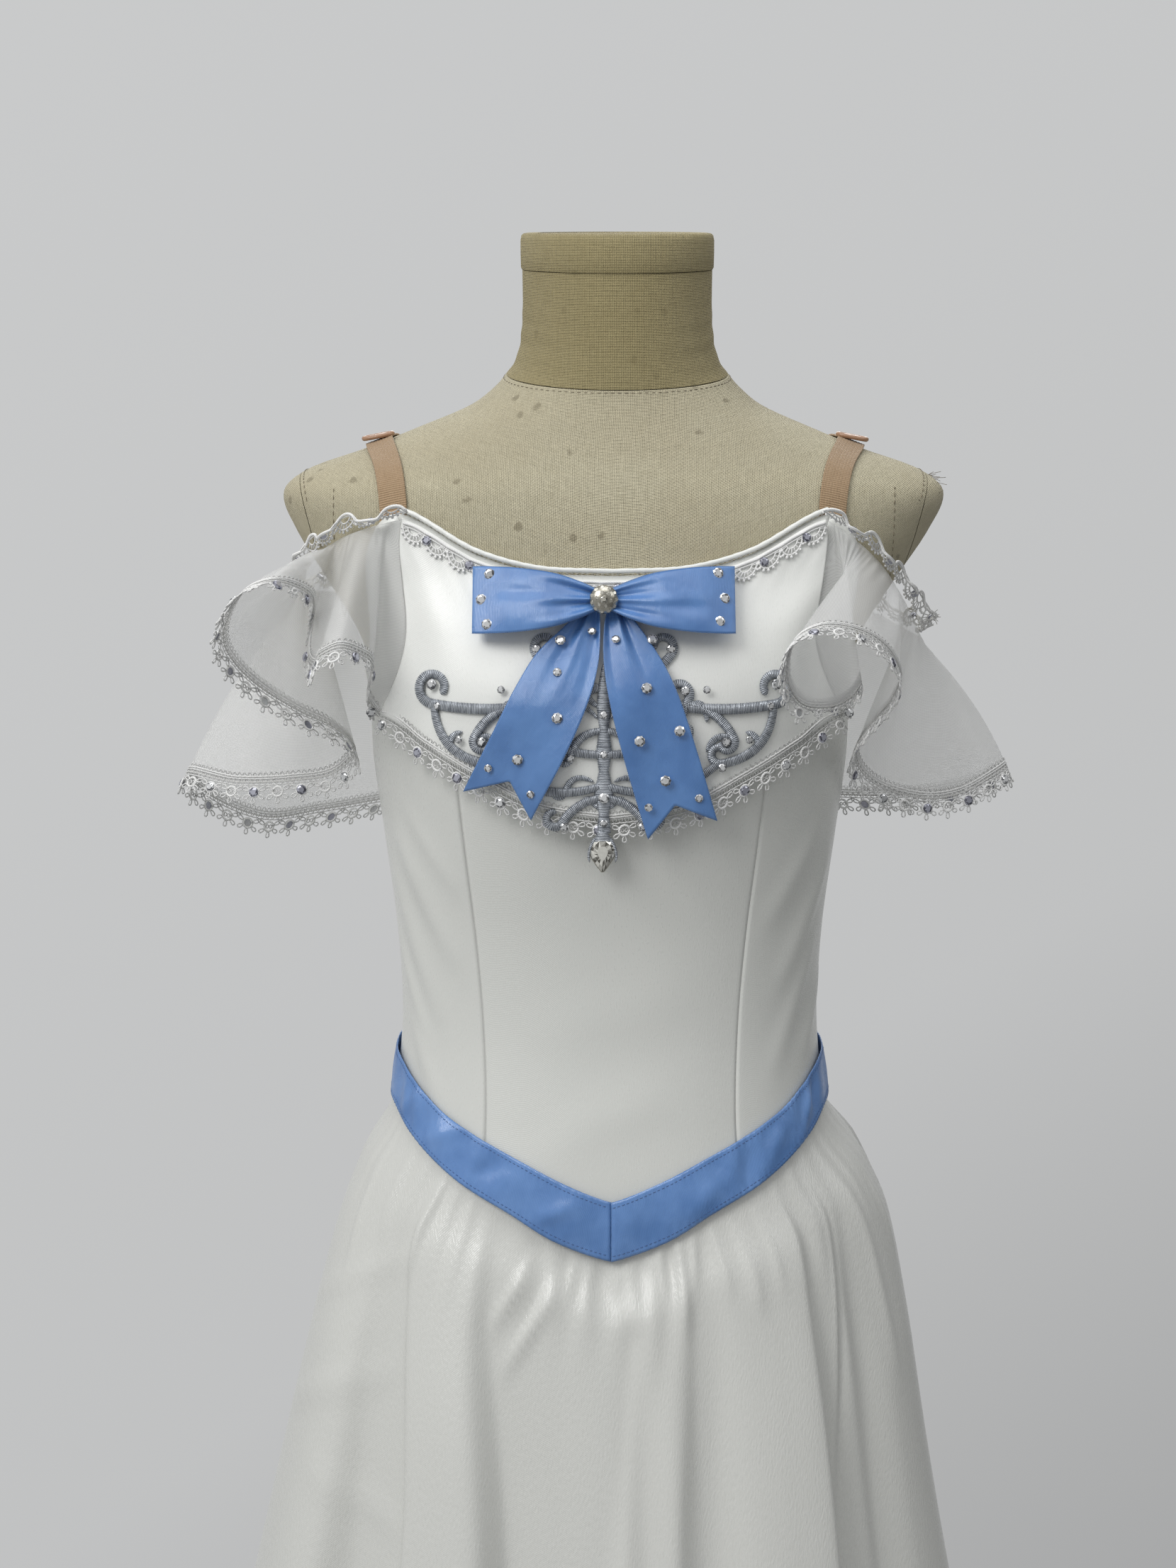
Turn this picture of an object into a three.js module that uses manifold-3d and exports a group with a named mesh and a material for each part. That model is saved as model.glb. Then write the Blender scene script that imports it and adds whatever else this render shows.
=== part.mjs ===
import * as THREE from 'three';
import { mergeVertices } from 'three/addons/utils/BufferGeometryUtils.js';
import Module from 'manifold-3d';

const wasm = await Module();
wasm.setup();

// Driving sizes, in millimetres
const CLOTH = 1.2;
const SEAM = 0.4;
const BODICE_OUT = 2.6;
const BELT_OUT = 4.9;
const BERTHA_OUT = 5.7;
const DRESS_CENTER = -4;
const BUST_BACK = 86;
const FORM_BOTTOM = 700;
const HEM_HEIGHT = 360;
const BASE_RADIUS = 160;
const BASE_HEIGHT = 14;
const POLE_RADIUS = 14;
const LACE = 0.9;
const LACE_DEPTH = 11.5;
const LACE_PITCH = 18;
const STRAP_WIDTH = 14;
const SEAM_ANGLE = 34;

// Material looks
const SATIN = { color: 0xe6e3de, roughness: 0.5 };
const ORGANZA = { color: 0xeeeeee, roughness: 0.6 };
const LACE_LOOK = { color: 0xf2f2f2, roughness: 0.7 };
const BLUE = { color: 0x6f9ddc, roughness: 0.35 };
const LINEN = { color: 0xcbbf9f, roughness: 0.9 };
const ELASTIC = { color: 0xb98c6f, roughness: 0.8 };
const TAN = { color: 0xb07f63, roughness: 0.4 };
const SILVER = { color: 0x9aa0a8, roughness: 0.45 };
const CRYSTAL = { color: 0xe4e9ee, roughness: 0.05 };
const STEEL = { color: 0xb5b7ba, roughness: 0.3, metalness: 1 };

const group = new THREE.Group();
const radians = (degrees) => (degrees * Math.PI) / 180;
const lerp = THREE.MathUtils.lerp;
const smooth = THREE.MathUtils.smoothstep;
const turned = (angle) => (angle > 180 ? angle - 360 : angle);

// Catmull-Rom value of one column of a table at a place in its key column
function column(table, key, name, at) {
  const last = table.length - 1;
  const rising = table[last][key] > table[0][key];
  let i = 0;
  while (i < last - 1 && (rising ? at > table[i + 1][key] : at < table[i + 1][key])) i += 1;
  const a = table[Math.max(i - 1, 0)];
  const b = table[i];
  const c = table[i + 1];
  const d = table[Math.min(i + 2, last)];
  const t = THREE.MathUtils.clamp((at - b[key]) / (c[key] - b[key]), 0, 1);
  const span = c[key] - b[key];
  const slopeB = a === b ? (c[name] - b[name]) : ((c[name] - a[name]) / (c[key] - a[key])) * span;
  const slopeC = d === c ? (c[name] - b[name]) : ((d[name] - b[name]) / (d[key] - b[key])) * span;
  const t2 = t * t;
  const t3 = t2 * t;
  return (2 * t3 - 3 * t2 + 1) * b[name] + (t3 - 2 * t2 + t) * slopeB
    + (3 * t2 - 2 * t3) * c[name] + (t3 - t2) * slopeC;
}

// The form's level sections: half width, depth to the front and back, squareness, slope back,
// and how far the section's middle lies to +X
const FORM = [
  { z: 1283, half: 61, front: 49, back: 50, square: 2.1, slope: 0.3, shift: 4 },
  { z: 1276, half: 67, front: 50, back: 52, square: 2.15, slope: 0.27, shift: 4 },
  { z: 1265, half: 81.4, front: 53, back: 56, square: 2.2, slope: 0.24, shift: 3.5 },
  { z: 1253, half: 110, front: 57, back: 61, square: 2.3, slope: 0.2, shift: 2.6 },
  { z: 1242, half: 138, front: 61, back: 66, square: 2.4, slope: 0.17, shift: 2.2 },
  { z: 1232, half: 167, front: 65, back: 70, square: 2.45, slope: 0.14, shift: 2 },
  { z: 1220, half: 180.6, front: 69, back: 75, square: 2.5, slope: 0.11, shift: 2 },
  { z: 1199, half: 173.4, front: 74, back: 80, square: 2.5, slope: 0.07, shift: 1.4 },
  { z: 1170, half: 155, front: 80, back: 85, square: 2.45, slope: 0.03, shift: 0.6 },
  { z: 1140, half: 137, front: 91, back: BUST_BACK, square: 2.4, slope: 0, shift: 0 },
  { z: 1110, half: 129, front: 98, back: BUST_BACK, square: 2.35, slope: 0, shift: 0 },
  { z: 1075, half: 127, front: 97, back: 84, square: 2.3, slope: 0, shift: 0 },
  { z: 1030, half: 121, front: 90, back: 79, square: 2.3, slope: 0, shift: 0 },
  { z: 980, half: 114.5, front: 82, back: 72, square: 2.3, slope: 0, shift: 0 },
  { z: 930, half: 112, front: 80.5, back: 71.5, square: 2.3, slope: 0, shift: 0 },
  { z: 885, half: 117, front: 86, back: 80, square: 2.3, slope: 0, shift: 0 },
  { z: 840, half: 130, front: 93, back: 98, square: 2.35, slope: 0, shift: 0 },
  { z: 780, half: 138, front: 94, back: 106, square: 2.4, slope: 0, shift: 0 },
  { z: FORM_BOTTOM, half: 138, front: 95, back: 104, square: 2.4, slope: 0, shift: 0 },
];

function formRing(z) {
  const ring = {};
  const names = ['half', 'front', 'back', 'square', 'slope', 'shift'];
  for (const name of names) ring[name] = column(FORM, 'z', name, z);
  return ring;
}

// A point of a section, the angle taken from the front towards +X
function ringPoint(ring, z, angle, more = 0) {
  const s = Math.sin(radians(angle));
  const c = Math.cos(radians(angle));
  const power = 2 / ring.square;
  const depth = c > 0 ? ring.front : ring.back;
  const x = (ring.half + more) * Math.sign(s) * Math.abs(s) ** power;
  const y = -(depth + more) * Math.sign(c) * Math.abs(c) ** power;
  return new THREE.Vector3(x + ring.shift, y, z + ring.slope * y);
}

// Less than 0 inside the form and more than 0 outside
function formField(p) {
  let level = p.z;
  for (let i = 0; i < 4; i += 1) level = p.z - column(FORM, 'z', 'slope', level) * p.y;
  const ring = formRing(level);
  const depth = p.y < 0 ? ring.front : ring.back;
  const sideways = Math.abs(p.x - ring.shift) / ring.half;
  const along = Math.abs(p.y) / depth;
  return sideways ** ring.square + along ** ring.square - 1;
}

function formNormal(p) {
  const d = 1.5;
  const n = new THREE.Vector3();
  for (const axis of ['x', 'y', 'z']) {
    const a = p.clone();
    const b = p.clone();
    a[axis] += d;
    b[axis] -= d;
    n[axis] = formField(a) - formField(b);
  }
  return n.normalize();
}

// A point of the form's surface at a true height, moved out along the surface's normal
function onForm(angle, height, out = 0) {
  let level = height;
  let p = ringPoint(formRing(level), level, angle);
  for (let i = 0; i < 5; i += 1) {
    level += height - p.z;
    p = ringPoint(formRing(level), level, angle);
  }
  const n = formNormal(p);
  n.z *= 0.5;
  n.normalize();
  return p.addScaledVector(n, out);
}

// A point on the front above a place x, z
function onFront(x, z, out) {
  let low = 0;
  let high = 89;
  const side = Math.sign(x) || 1;
  for (let i = 0; i < 22; i += 1) {
    const mid = (low + high) / 2;
    if (Math.abs(onForm(side * mid, z, out).x) < Math.abs(x)) low = mid;
    else high = mid;
  }
  const p = onForm((side * (low + high)) / 2, z, out);
  p.x = x;
  p.z = z;
  return p;
}

// A closed body from points and triangles
function solid(points, faces) {
  const geometry = new THREE.BufferGeometry();
  const values = points.flatMap((p) => [p.x, p.y, p.z]);
  geometry.setAttribute('position', new THREE.Float32BufferAttribute(values, 3));
  geometry.setIndex(faces.flat());
  return geometry;
}

function addMesh(name, geometry, look) {
  const material = new THREE.MeshStandardMaterial({ metalness: 0, ...look });
  const mesh = new THREE.Mesh(geometry, material);
  mesh.name = name;
  group.add(mesh);
  return mesh;
}

// Unit normals of a grid of points, from its neighbours
function gridNormals(grid) {
  return grid.map((row, i) => row.map((p, j) => {
    const up = grid[Math.max(i - 1, 0)][j];
    const down = grid[Math.min(i + 1, grid.length - 1)][j];
    const left = row[Math.max(j - 1, 0)];
    const right = row[Math.min(j + 1, row.length - 1)];
    return new THREE.Vector3().crossVectors(right.clone().sub(left), down.clone().sub(up)).normalize();
  }));
}

// A wall of cloth: a grid of points and the same grid moved to its other side
function wall(grid, thickness, side = 1) {
  const normals = gridNormals(grid);
  const rows = grid.length;
  const columns = grid[0].length;
  const points = [];
  for (const row of grid) points.push(...row);
  const moved = (p, i, j) => p.clone().addScaledVector(normals[i][j], thickness * side);
  grid.forEach((row, i) => points.push(...row.map((p, j) => moved(p, i, j))));
  const near = (i, j) => i * columns + j;
  const far = (i, j) => rows * columns + near(i, j);
  const faces = [];
  const quad = (a, b, c, d) => {
    if (side > 0) faces.push([a, b, c], [a, c, d]);
    else faces.push([a, c, b], [a, d, c]);
  };
  for (let i = 0; i < rows - 1; i += 1) {
    for (let j = 0; j < columns - 1; j += 1) {
      quad(near(i, j), near(i + 1, j), near(i + 1, j + 1), near(i, j + 1));
      quad(far(i, j), far(i, j + 1), far(i + 1, j + 1), far(i + 1, j));
    }
  }
  for (let j = 0; j < columns - 1; j += 1) {
    quad(near(0, j), near(0, j + 1), far(0, j + 1), far(0, j));
    quad(near(rows - 1, j + 1), near(rows - 1, j), far(rows - 1, j), far(rows - 1, j + 1));
  }
  for (let i = 0; i < rows - 1; i += 1) {
    quad(near(i + 1, 0), near(i, 0), far(i, 0), far(i + 1, 0));
    quad(near(i, columns - 1), near(i + 1, columns - 1), far(i + 1, columns - 1), far(i, columns - 1));
  }
  return solid(points, faces);
}

// Grid of points from a function of two shares, down and across
function makeGrid(down, across, place) {
  const grid = [];
  for (let i = 0; i <= down; i += 1) {
    const row = [];
    for (let j = 0; j <= across; j += 1) row.push(place(i / down, j / across));
    grid.push(row);
  }
  return grid;
}

// A solid through rings of equal counts, closed at its ends by fans
function loft(rings) {
  const count = rings[0].length;
  const points = rings.flat();
  const faces = [];
  for (let i = 0; i < rings.length - 1; i += 1) {
    for (let j = 0; j < count; j += 1) {
      const k = (j + 1) % count;
      const a = i * count + j;
      const b = i * count + k;
      faces.push([a, a + count, b + count], [a, b + count, b]);
    }
  }
  const center = (ring) => ring.reduce((sum, p) => sum.add(p), new THREE.Vector3()).divideScalar(count);
  points.push(center(rings[0]), center(rings[rings.length - 1]));
  const first = points.length - 2;
  const base = (rings.length - 1) * count;
  for (let j = 0; j < count; j += 1) {
    const k = (j + 1) % count;
    faces.push([first, j, k], [first + 1, base + k, base + j]);
  }
  return solid(points, faces);
}

// Between a three.js geometry and a solid that can be cut
function toSolid(geometry) {
  const bare = geometry.index ? geometry.clone() : geometry;
  bare.deleteAttribute('normal');
  bare.deleteAttribute('uv');
  const merged = mergeVertices(bare, 1e-3);
  return new wasm.Manifold(new wasm.Mesh({
    numProp: 3,
    vertProperties: new Float32Array(merged.attributes.position.array),
    triVerts: new Uint32Array(merged.index.array),
  }));
}

function fromSolid(body) {
  const mesh = body.getMesh();
  const geometry = new THREE.BufferGeometry();
  geometry.setAttribute('position', new THREE.BufferAttribute(new Float32Array(mesh.vertProperties), 3));
  geometry.setIndex(Array.from(mesh.triVerts));
  return geometry;
}

// Dress form
const AROUND_FORM = 28;
const LEVELS_BETWEEN = [1185, 1155, 1125, 1092, 1052];
function formLoft() {
  const levels = [...FORM.map((row) => row.z), ...LEVELS_BETWEEN].sort((a, b) => b - a);
  const rings = levels.map((z) => {
    const ring = formRing(z);
    return Array.from({ length: AROUND_FORM }, (_, j) => ringPoint(ring, z, (j / AROUND_FORM) * 360));
  });
  return loft(rings);
}

// The arm caps: where each leaning cut starts, and the box that cuts it off
const CAP_LEAN = radians(14);
const CAP_LEFT = 164.5;
const CAP_RIGHT = 168;
const CAP_Z = 1213;
const CAP_BOX = { width: 60, depth: 240, height: 260 };
function capBox(x) {
  const box = new THREE.BoxGeometry(CAP_BOX.width, CAP_BOX.depth, CAP_BOX.height);
  box.translate(CAP_BOX.width / 2, 0, 0);
  box.rotateY(CAP_LEAN);
  box.translate(x, 0, CAP_Z);
  return box;
}
const bodyOfForm = toSolid(formLoft());
const capCutRight = toSolid(capBox(CAP_RIGHT));
const capKeepRight = toSolid(capBox(CAP_RIGHT + SEAM));
const capCutLeft = toSolid(capBox(CAP_LEFT).rotateZ(Math.PI));
const capKeepLeft = toSolid(capBox(CAP_LEFT + SEAM).rotateZ(Math.PI));
addMesh('form_torso', fromSolid(bodyOfForm.subtract(capCutRight).subtract(capCutLeft)), LINEN);
addMesh('form_arm_cap_right', fromSolid(bodyOfForm.intersect(capKeepRight)), LINEN);
addMesh('form_arm_cap_left', fromSolid(bodyOfForm.intersect(capKeepLeft)), LINEN);

// Neck and its cap, as tilted rings: radius, depth and slope of each
const NECK_SHIFT = 4;
const NECK = [
  { z: 1283.6, radius: 60.6, deep: 49.2, slope: 0.3 },
  { z: 1289, radius: 56.6, deep: 49.6, slope: 0.29 },
  { z: 1300, radius: 53.2, deep: 50, slope: 0.27 },
  { z: 1318, radius: 51.8, deep: 50.6, slope: 0.24 },
  { z: 1339.6, radius: 51.9, deep: 51.2, slope: 0.215 },
];
const NECK_CAP = [
  { z: 1340, radius: 52.2, deep: 51.6, slope: 0.215 },
  { z: 1358, radius: 52.9, deep: 52.3, slope: 0.2 },
  { z: 1359.4, radius: 51.6, deep: 51, slope: 0.2 },
];
function neckRings(table, count = 24) {
  return [...table].reverse().map((row) => Array.from({ length: count }, (_, j) => {
    const turn = radians((j / count) * 360);
    const y = -row.deep * Math.cos(turn);
    return new THREE.Vector3(row.radius * Math.sin(turn) + NECK_SHIFT, y, row.z + row.slope * y);
  }));
}
addMesh('form_neck', loft(neckRings(NECK)), LINEN);
addMesh('form_neck_cap', loft(neckRings(NECK_CAP)), LINEN);

// Stand
function lathe(profile, segments) {
  const shape = profile.map(([r, h]) => new THREE.Vector2(r, h));
  const geometry = new THREE.LatheGeometry(shape, segments);
  geometry.rotateX(Math.PI / 2);
  return geometry;
}
const REST_GAP = 0.3;
const FLANGE_RADIUS = 46;
const FLANGE_THICK = 6;
const FLANGE = [[0, 0], [FLANGE_RADIUS, 0], [FLANGE_RADIUS, FLANGE_THICK], [0, FLANGE_THICK]];
const STAND_BASE = [
  [0, 0],
  [BASE_RADIUS, 0],
  [BASE_RADIUS, 5],
  [BASE_RADIUS - 5, 9],
  [2 * POLE_RADIUS, BASE_HEIGHT],
  [0, BASE_HEIGHT],
];
const flangeBottom = FORM_BOTTOM - REST_GAP - FLANGE_THICK;
const poleBottom = BASE_HEIGHT + REST_GAP;
const poleTop = flangeBottom - REST_GAP;
const pole = new THREE.CylinderGeometry(POLE_RADIUS, POLE_RADIUS, poleTop - poleBottom, 20);
pole.rotateX(Math.PI / 2);
pole.translate(0, 0, (poleTop + poleBottom) / 2);
addMesh('stand_flange', lathe(FLANGE, 24).translate(0, 0, flangeBottom), STEEL);
addMesh('stand_pole', pole, STEEL);
addMesh('stand_base', lathe(STAND_BASE, 32), STEEL);

// Edge lines round the body, by the angle from the front
const EDGES = [
  { angle: 0, neck: 1170, beltTop: 847, beltFoot: 816.5 },
  { angle: 10, neck: 1172, beltTop: 857.5, beltFoot: 827 },
  { angle: 20, neck: 1181, beltTop: 867.5, beltFoot: 840 },
  { angle: 34, neck: 1203, beltTop: 879, beltFoot: 853 },
  { angle: 46, neck: 1184, beltTop: 888.5, beltFoot: 864 },
  { angle: 58, neck: 1152, beltTop: 899, beltFoot: 874 },
  { angle: 72, neck: 1128, beltTop: 909, beltFoot: 884 },
  { angle: 90, neck: 1120, beltTop: 915, beltFoot: 888 },
  { angle: 110, neck: 1128, beltTop: 918, beltFoot: 890.5 },
  { angle: 128, neck: 1150, beltTop: 919, beltFoot: 891.5 },
  { angle: 144, neck: 1168, beltTop: 919.5, beltFoot: 892 },
  { angle: 160, neck: 1158, beltTop: 920, beltFoot: 892.5 },
  { angle: 180, neck: 1153, beltTop: 920, beltFoot: 892.5 },
];
function edge(name, angle) {
  const away = Math.abs(angle);
  return column(EDGES, 'angle', name, away > 180 ? 360 - away : away);
}
const waistSeam = (angle) => (edge('beltTop', angle) + edge('beltFoot', angle)) / 2;

// Bodice panels between two angles, from the neckline to the belt
const BODICE = [
  { name: 'bodice_front_center', from: -SEAM_ANGLE, to: SEAM_ANGLE, across: 12 },
  { name: 'bodice_front_side_right', from: SEAM_ANGLE, to: 90, across: 7 },
  { name: 'bodice_front_side_left', from: -90, to: -SEAM_ANGLE, across: 7 },
  { name: 'bodice_back_side_right', from: 90, to: 144, across: 6 },
  { name: 'bodice_back_side_left', from: -144, to: -90, across: 6 },
  { name: 'bodice_back_right', from: 144, to: 180, across: 5 },
  { name: 'bodice_back_left', from: -180, to: -144, across: 5 },
];
// Half of a seam's gap, in degrees round the body
const HALF_SEAM = 0.11;
// The front seams' angle at shares of the way down
const PRINCESS = [
  { drop: 0, angle: SEAM_ANGLE },
  { drop: 0.4, angle: 35.5 },
  { drop: 0.78, angle: 33 },
  { drop: 1, angle: 29 },
];
function seamLine(angle, drop) {
  if (Math.abs(angle) !== SEAM_ANGLE) return angle;
  return Math.sign(angle) * column(PRINCESS, 'drop', 'angle', drop);
}
const BODICE_ROWS = [0, 0.08, 0.16, 0.24, 0.34, 0.48, 0.64, 0.8, 0.92, 1];
function bodicePoint(angle, drop, out) {
  const z = lerp(edge('neck', angle), waistSeam(angle) + 0.3, drop);
  return onForm(angle, z, out);
}
const down = BODICE_ROWS.length - 1;
for (const panel of BODICE) {
  const grid = makeGrid(down, panel.across, (drop, share) => {
    const row = BODICE_ROWS[Math.round(drop * down)];
    const angle = lerp(seamLine(panel.from, row) + HALF_SEAM, seamLine(panel.to, row) - HALF_SEAM, share);
    return bodicePoint(angle, row, BODICE_OUT);
  });
  addMesh(panel.name, wall(grid, CLOTH, -1), SATIN);
}

// Belt ribbon on the waist seam, dropping to a mitred point at the front
const BELT = [
  { name: 'belt_front_right', from: 0.15, to: 89.9, across: 16 },
  { name: 'belt_front_left', from: -89.9, to: -0.15, across: 16 },
  { name: 'belt_back', from: 90.1, to: 269.9, across: 22 },
];
for (const part of BELT) {
  const grid = makeGrid(2, part.across, (drop, share) => {
    const angle = lerp(part.from, part.to, share);
    const z = lerp(edge('beltTop', angle), edge('beltFoot', angle), drop);
    return onForm(angle, z, BELT_OUT);
  });
  addMesh(part.name, wall(grid, 1, -1), BLUE);
}

// Gathered skirt: the outline it hangs to and its folds
const SKIRT = [
  { z: 900, half: 120, front: 92, back: 92, shift: 0 },
  { z: 854, half: 139, front: 97, back: 116, shift: 1.5 },
  { z: 825, half: 151, front: 101, back: 132, shift: 2 },
  { z: 776, half: 162, front: 110, back: 144, shift: 1 },
  { z: 700, half: 176, front: 126, back: 156, shift: 0 },
  { z: 609, half: 193, front: 146, back: 172, shift: 0 },
  { z: 480, half: 220, front: 170, back: 194, shift: 0 },
  { z: HEM_HEIGHT, half: 245, front: 192, back: 214, shift: 0 },
];
// Folds between two edge angles at the belt: how soft each edge is, how far the fold drifts on its
// way down, its depth, the share of it at the belt, the fall where it grows, over what length, and
// the fall where it fades
const FOLDS = [
  {
    left: -88, right: -52, softLeft: 5, softRight: 3.5, drift: 2,
    depth: 20, base: 0, start: 20, span: 320, end: 900,
  },
  {
    left: -43, right: -26, softLeft: 2.4, softRight: 2.4, drift: 8.5,
    depth: 11, base: 0.3, start: 10, span: 200, end: 900,
  },
  {
    left: 3.5, right: 13.2, softLeft: 2.4, softRight: 2.6, drift: -3,
    depth: 9, base: 0.3, start: 30, span: 200, end: 900,
  },
  {
    left: 19, right: 37.8, softLeft: 6, softRight: 2.2, drift: -1,
    depth: 16, base: 0.3, start: 0, span: 240, end: 900,
  },
  {
    left: 42, right: 48.5, softLeft: 3, softRight: 2.2, drift: -8,
    depth: 5, base: 0.3, start: 0, span: 320, end: 60,
  },
  {
    left: 54, right: 84, softLeft: 5, softRight: 5, drift: 0,
    depth: 10, base: 0.3, start: 20, span: 320, end: 900,
  },
  {
    left: 98, right: 114, softLeft: 3, softRight: 4, drift: 0,
    depth: 15, base: 0.3, start: 40, span: 240, end: 900,
  },
  {
    left: 124, right: 143, softLeft: 5, softRight: 2.5, drift: 3,
    depth: 17, base: 0.3, start: 20, span: 240, end: 900,
  },
  {
    left: 152, right: 166, softLeft: 2.5, softRight: 4, drift: -3,
    depth: 16, base: 0.3, start: 50, span: 240, end: 900,
  },
  {
    left: 184, right: 200, softLeft: 4, softRight: 2.5, drift: 2,
    depth: 18, base: 0.3, start: 30, span: 240, end: 900,
  },
  {
    left: 210, right: 228, softLeft: 3, softRight: 5, drift: -2,
    depth: 16, base: 0.3, start: 60, span: 240, end: 900,
  },
  {
    left: 240, right: 256, softLeft: 4, softRight: 3, drift: 3,
    depth: 17, base: 0.3, start: 10, span: 240, end: 900,
  },
];
// Broad swells of the front between its folds: how far out at each angle of the belt
const SWELLS = [
  { angle: -88, out: 0 }, { angle: -70, out: 4 }, { angle: -56, out: 6 }, { angle: -46, out: 0 },
  { angle: -40, out: 1 }, { angle: -31, out: 5 }, { angle: -27, out: 3.5 },
  { angle: -24, out: -3 }, { angle: -12, out: -1.5 }, { angle: -1, out: 2.5 },
  { angle: 4, out: -1.5 }, { angle: 9, out: 3.5 }, { angle: 14, out: 0 }, { angle: 19, out: -2.5 },
  { angle: 28, out: 2 }, { angle: 35, out: 4 }, { angle: 40, out: -1 }, { angle: 44, out: 1.5 },
  { angle: 48, out: 3 }, { angle: 52, out: -2 }, { angle: 60, out: 3 }, { angle: 70, out: 4.5 },
  { angle: 84, out: 0 },
];
// Small gathers that leave the belt and die out below it
const GATHERS = 30;
const GATHER_DEPTH = 1.4;
function gatherOut(angle, fall) {
  const rise = smooth(fall, 3, 18);
  const fade = 1 - smooth(fall, 30, 110);
  return GATHER_DEPTH * Math.sin(radians(angle * GATHERS)) * rise * fade;
}
const FOLD_FADE = 150;
function foldOut(angle, fall) {
  let out = 0;
  for (const fold of FOLDS) {
    const middle = (fold.left + fold.right) / 2 + fold.drift * smooth(fall, 0, 190);
    const half = (fold.right - fold.left) / 2;
    const away = ((((angle - middle + 180) % 360) + 360) % 360) - 180;
    const leftEdge = 1 + Math.tanh((away + half) / fold.softLeft);
    const rightEdge = 1 + Math.tanh((half - away) / fold.softRight);
    const shape = 0.25 * leftEdge * rightEdge;
    const grown = fold.base + (1 - fold.base) * smooth(fall, fold.start, fold.start + fold.span);
    const growth = grown * smooth(fall, 0, 50);
    out += fold.depth * growth * shape * (1 - smooth(fall, fold.end, fold.end + FOLD_FADE));
  }
  return out;
}
function swellOut(angle, fall) {
  if (Math.abs(angle) > 88) return 0;
  const drawn = angle - 8.5 * Math.exp(-(((angle + 22) / 16) ** 2)) * smooth(fall, 0, 190);
  return column(SWELLS, 'angle', 'out', drawn) * smooth(fall, 15, 130);
}

// Height shares of the skirt's rows below the belt, after the seam and the belt's foot
const SKIRT_ROWS = [0.022, 0.06, 0.12, 0.2, 0.31, 0.46, 0.64, 0.82, 1];
function skirtHeight(angle, row) {
  if (row === 0) return waistSeam(angle) - 0.3;
  const foot = edge('beltFoot', angle);
  if (row === 1) return foot + 1.5;
  return lerp(foot, HEM_HEIGHT, SKIRT_ROWS[row - 2]);
}
function skirtPoint(angle, z) {
  const fall = Math.max(edge('beltFoot', angle) - z, 0);
  const close = onForm(angle, Math.max(z, 705), BODICE_OUT);
  const ring = { square: 2.15, slope: 0 };
  for (const name of ['half', 'front', 'back', 'shift']) ring[name] = column(SKIRT, 'z', name, z);
  const sink = 9 * smooth(fall, 20, 300);
  const free = ringPoint(ring, z, angle, -sink);
  const share = smooth(fall, 0, 34);
  const p = close.lerp(free, share);
  p.z = z;
  const outward = new THREE.Vector3(p.x / 1.2, p.y, 0).normalize();
  p.addScaledVector(outward, foldOut(angle, fall) + swellOut(angle, fall) + gatherOut(angle, fall));
  return p;
}
const SKIRT_HALVES = [
  { name: 'skirt_front', from: -89.9, to: 89.9 },
  { name: 'skirt_back', from: 90.1, to: 269.9 },
];
const SKIRT_ACROSS = 46;
for (const half of SKIRT_HALVES) {
  const down = SKIRT_ROWS.length + 1;
  const grid = makeGrid(down, SKIRT_ACROSS, (drop, share) => {
    const angle = turned(lerp(half.from, half.to, share));
    return skirtPoint(angle, skirtHeight(angle, Math.round(drop * down)));
  });
  addMesh(half.name, wall(grid, CLOTH, -1), SATIN);
}

// Bertha: a flounce from the neckline, which becomes the open sleeves at its sides
const BERTHA = [
  { angle: 0, hem: 1047 },
  { angle: 14, hem: 1053 },
  { angle: 28, hem: 1068.5 },
  { angle: 42, hem: 1084 },
  { angle: 58, hem: 1098 },
  { angle: 122, hem: 1050 },
  { angle: 140, hem: 1046 },
  { angle: 160, hem: 1040 },
  { angle: 180, hem: 1038 },
];
const BERTHA_SIDE = { frontTop: 33, frontHem: 58, backTop: 144, backHem: 124 };
const BERTHA_TOP_DROP = 3;
function berthaWave(angle, drop) {
  const away = smooth(Math.abs(angle), 40, 58);
  const front = 2.2 * away * Math.cos(radians(angle * 13));
  const back = 3.2 * Math.cos(radians(angle * 15));
  return (Math.abs(angle) < 90 ? front : back) * smooth(drop, 0.15, 1);
}
function berthaOut(angle, drop) {
  return BERTHA_OUT - 0.4 * (1 - smooth(drop, 0, 0.2)) + 4.5 * smooth(drop, 0, 1) + berthaWave(angle, drop);
}
function berthaPoint(angle, drop, more = 0) {
  const top = edge('neck', angle) - BERTHA_TOP_DROP;
  const z = lerp(top, column(BERTHA, 'angle', 'hem', Math.abs(angle)), drop);
  return onForm(angle, z, berthaOut(angle, drop) + more);
}
// Where the bertha's sides meet the sleeves, as an angle from the front
function berthaSide(drop, back) {
  const top = back ? BERTHA_SIDE.backTop : BERTHA_SIDE.frontTop;
  const hem = back ? BERTHA_SIDE.backHem : BERTHA_SIDE.frontHem;
  return lerp(top, hem, drop);
}
function berthaAngle(share, drop, back) {
  const side = berthaSide(drop, back);
  return back ? lerp(side, 360 - side, share) : lerp(-side, side, share);
}
const BERTHA_ACROSS = 22;
function berthaGrid(back) {
  return makeGrid(5, BERTHA_ACROSS, (drop, share) => {
    const angle = turned(berthaAngle(share, drop, back));
    return berthaPoint(angle, drop);
  });
}
addMesh('bertha_front', wall(berthaGrid(false), CLOTH, -1), SATIN);
addMesh('bertha_back', wall(berthaGrid(true), CLOTH, -1), SATIN);

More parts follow.
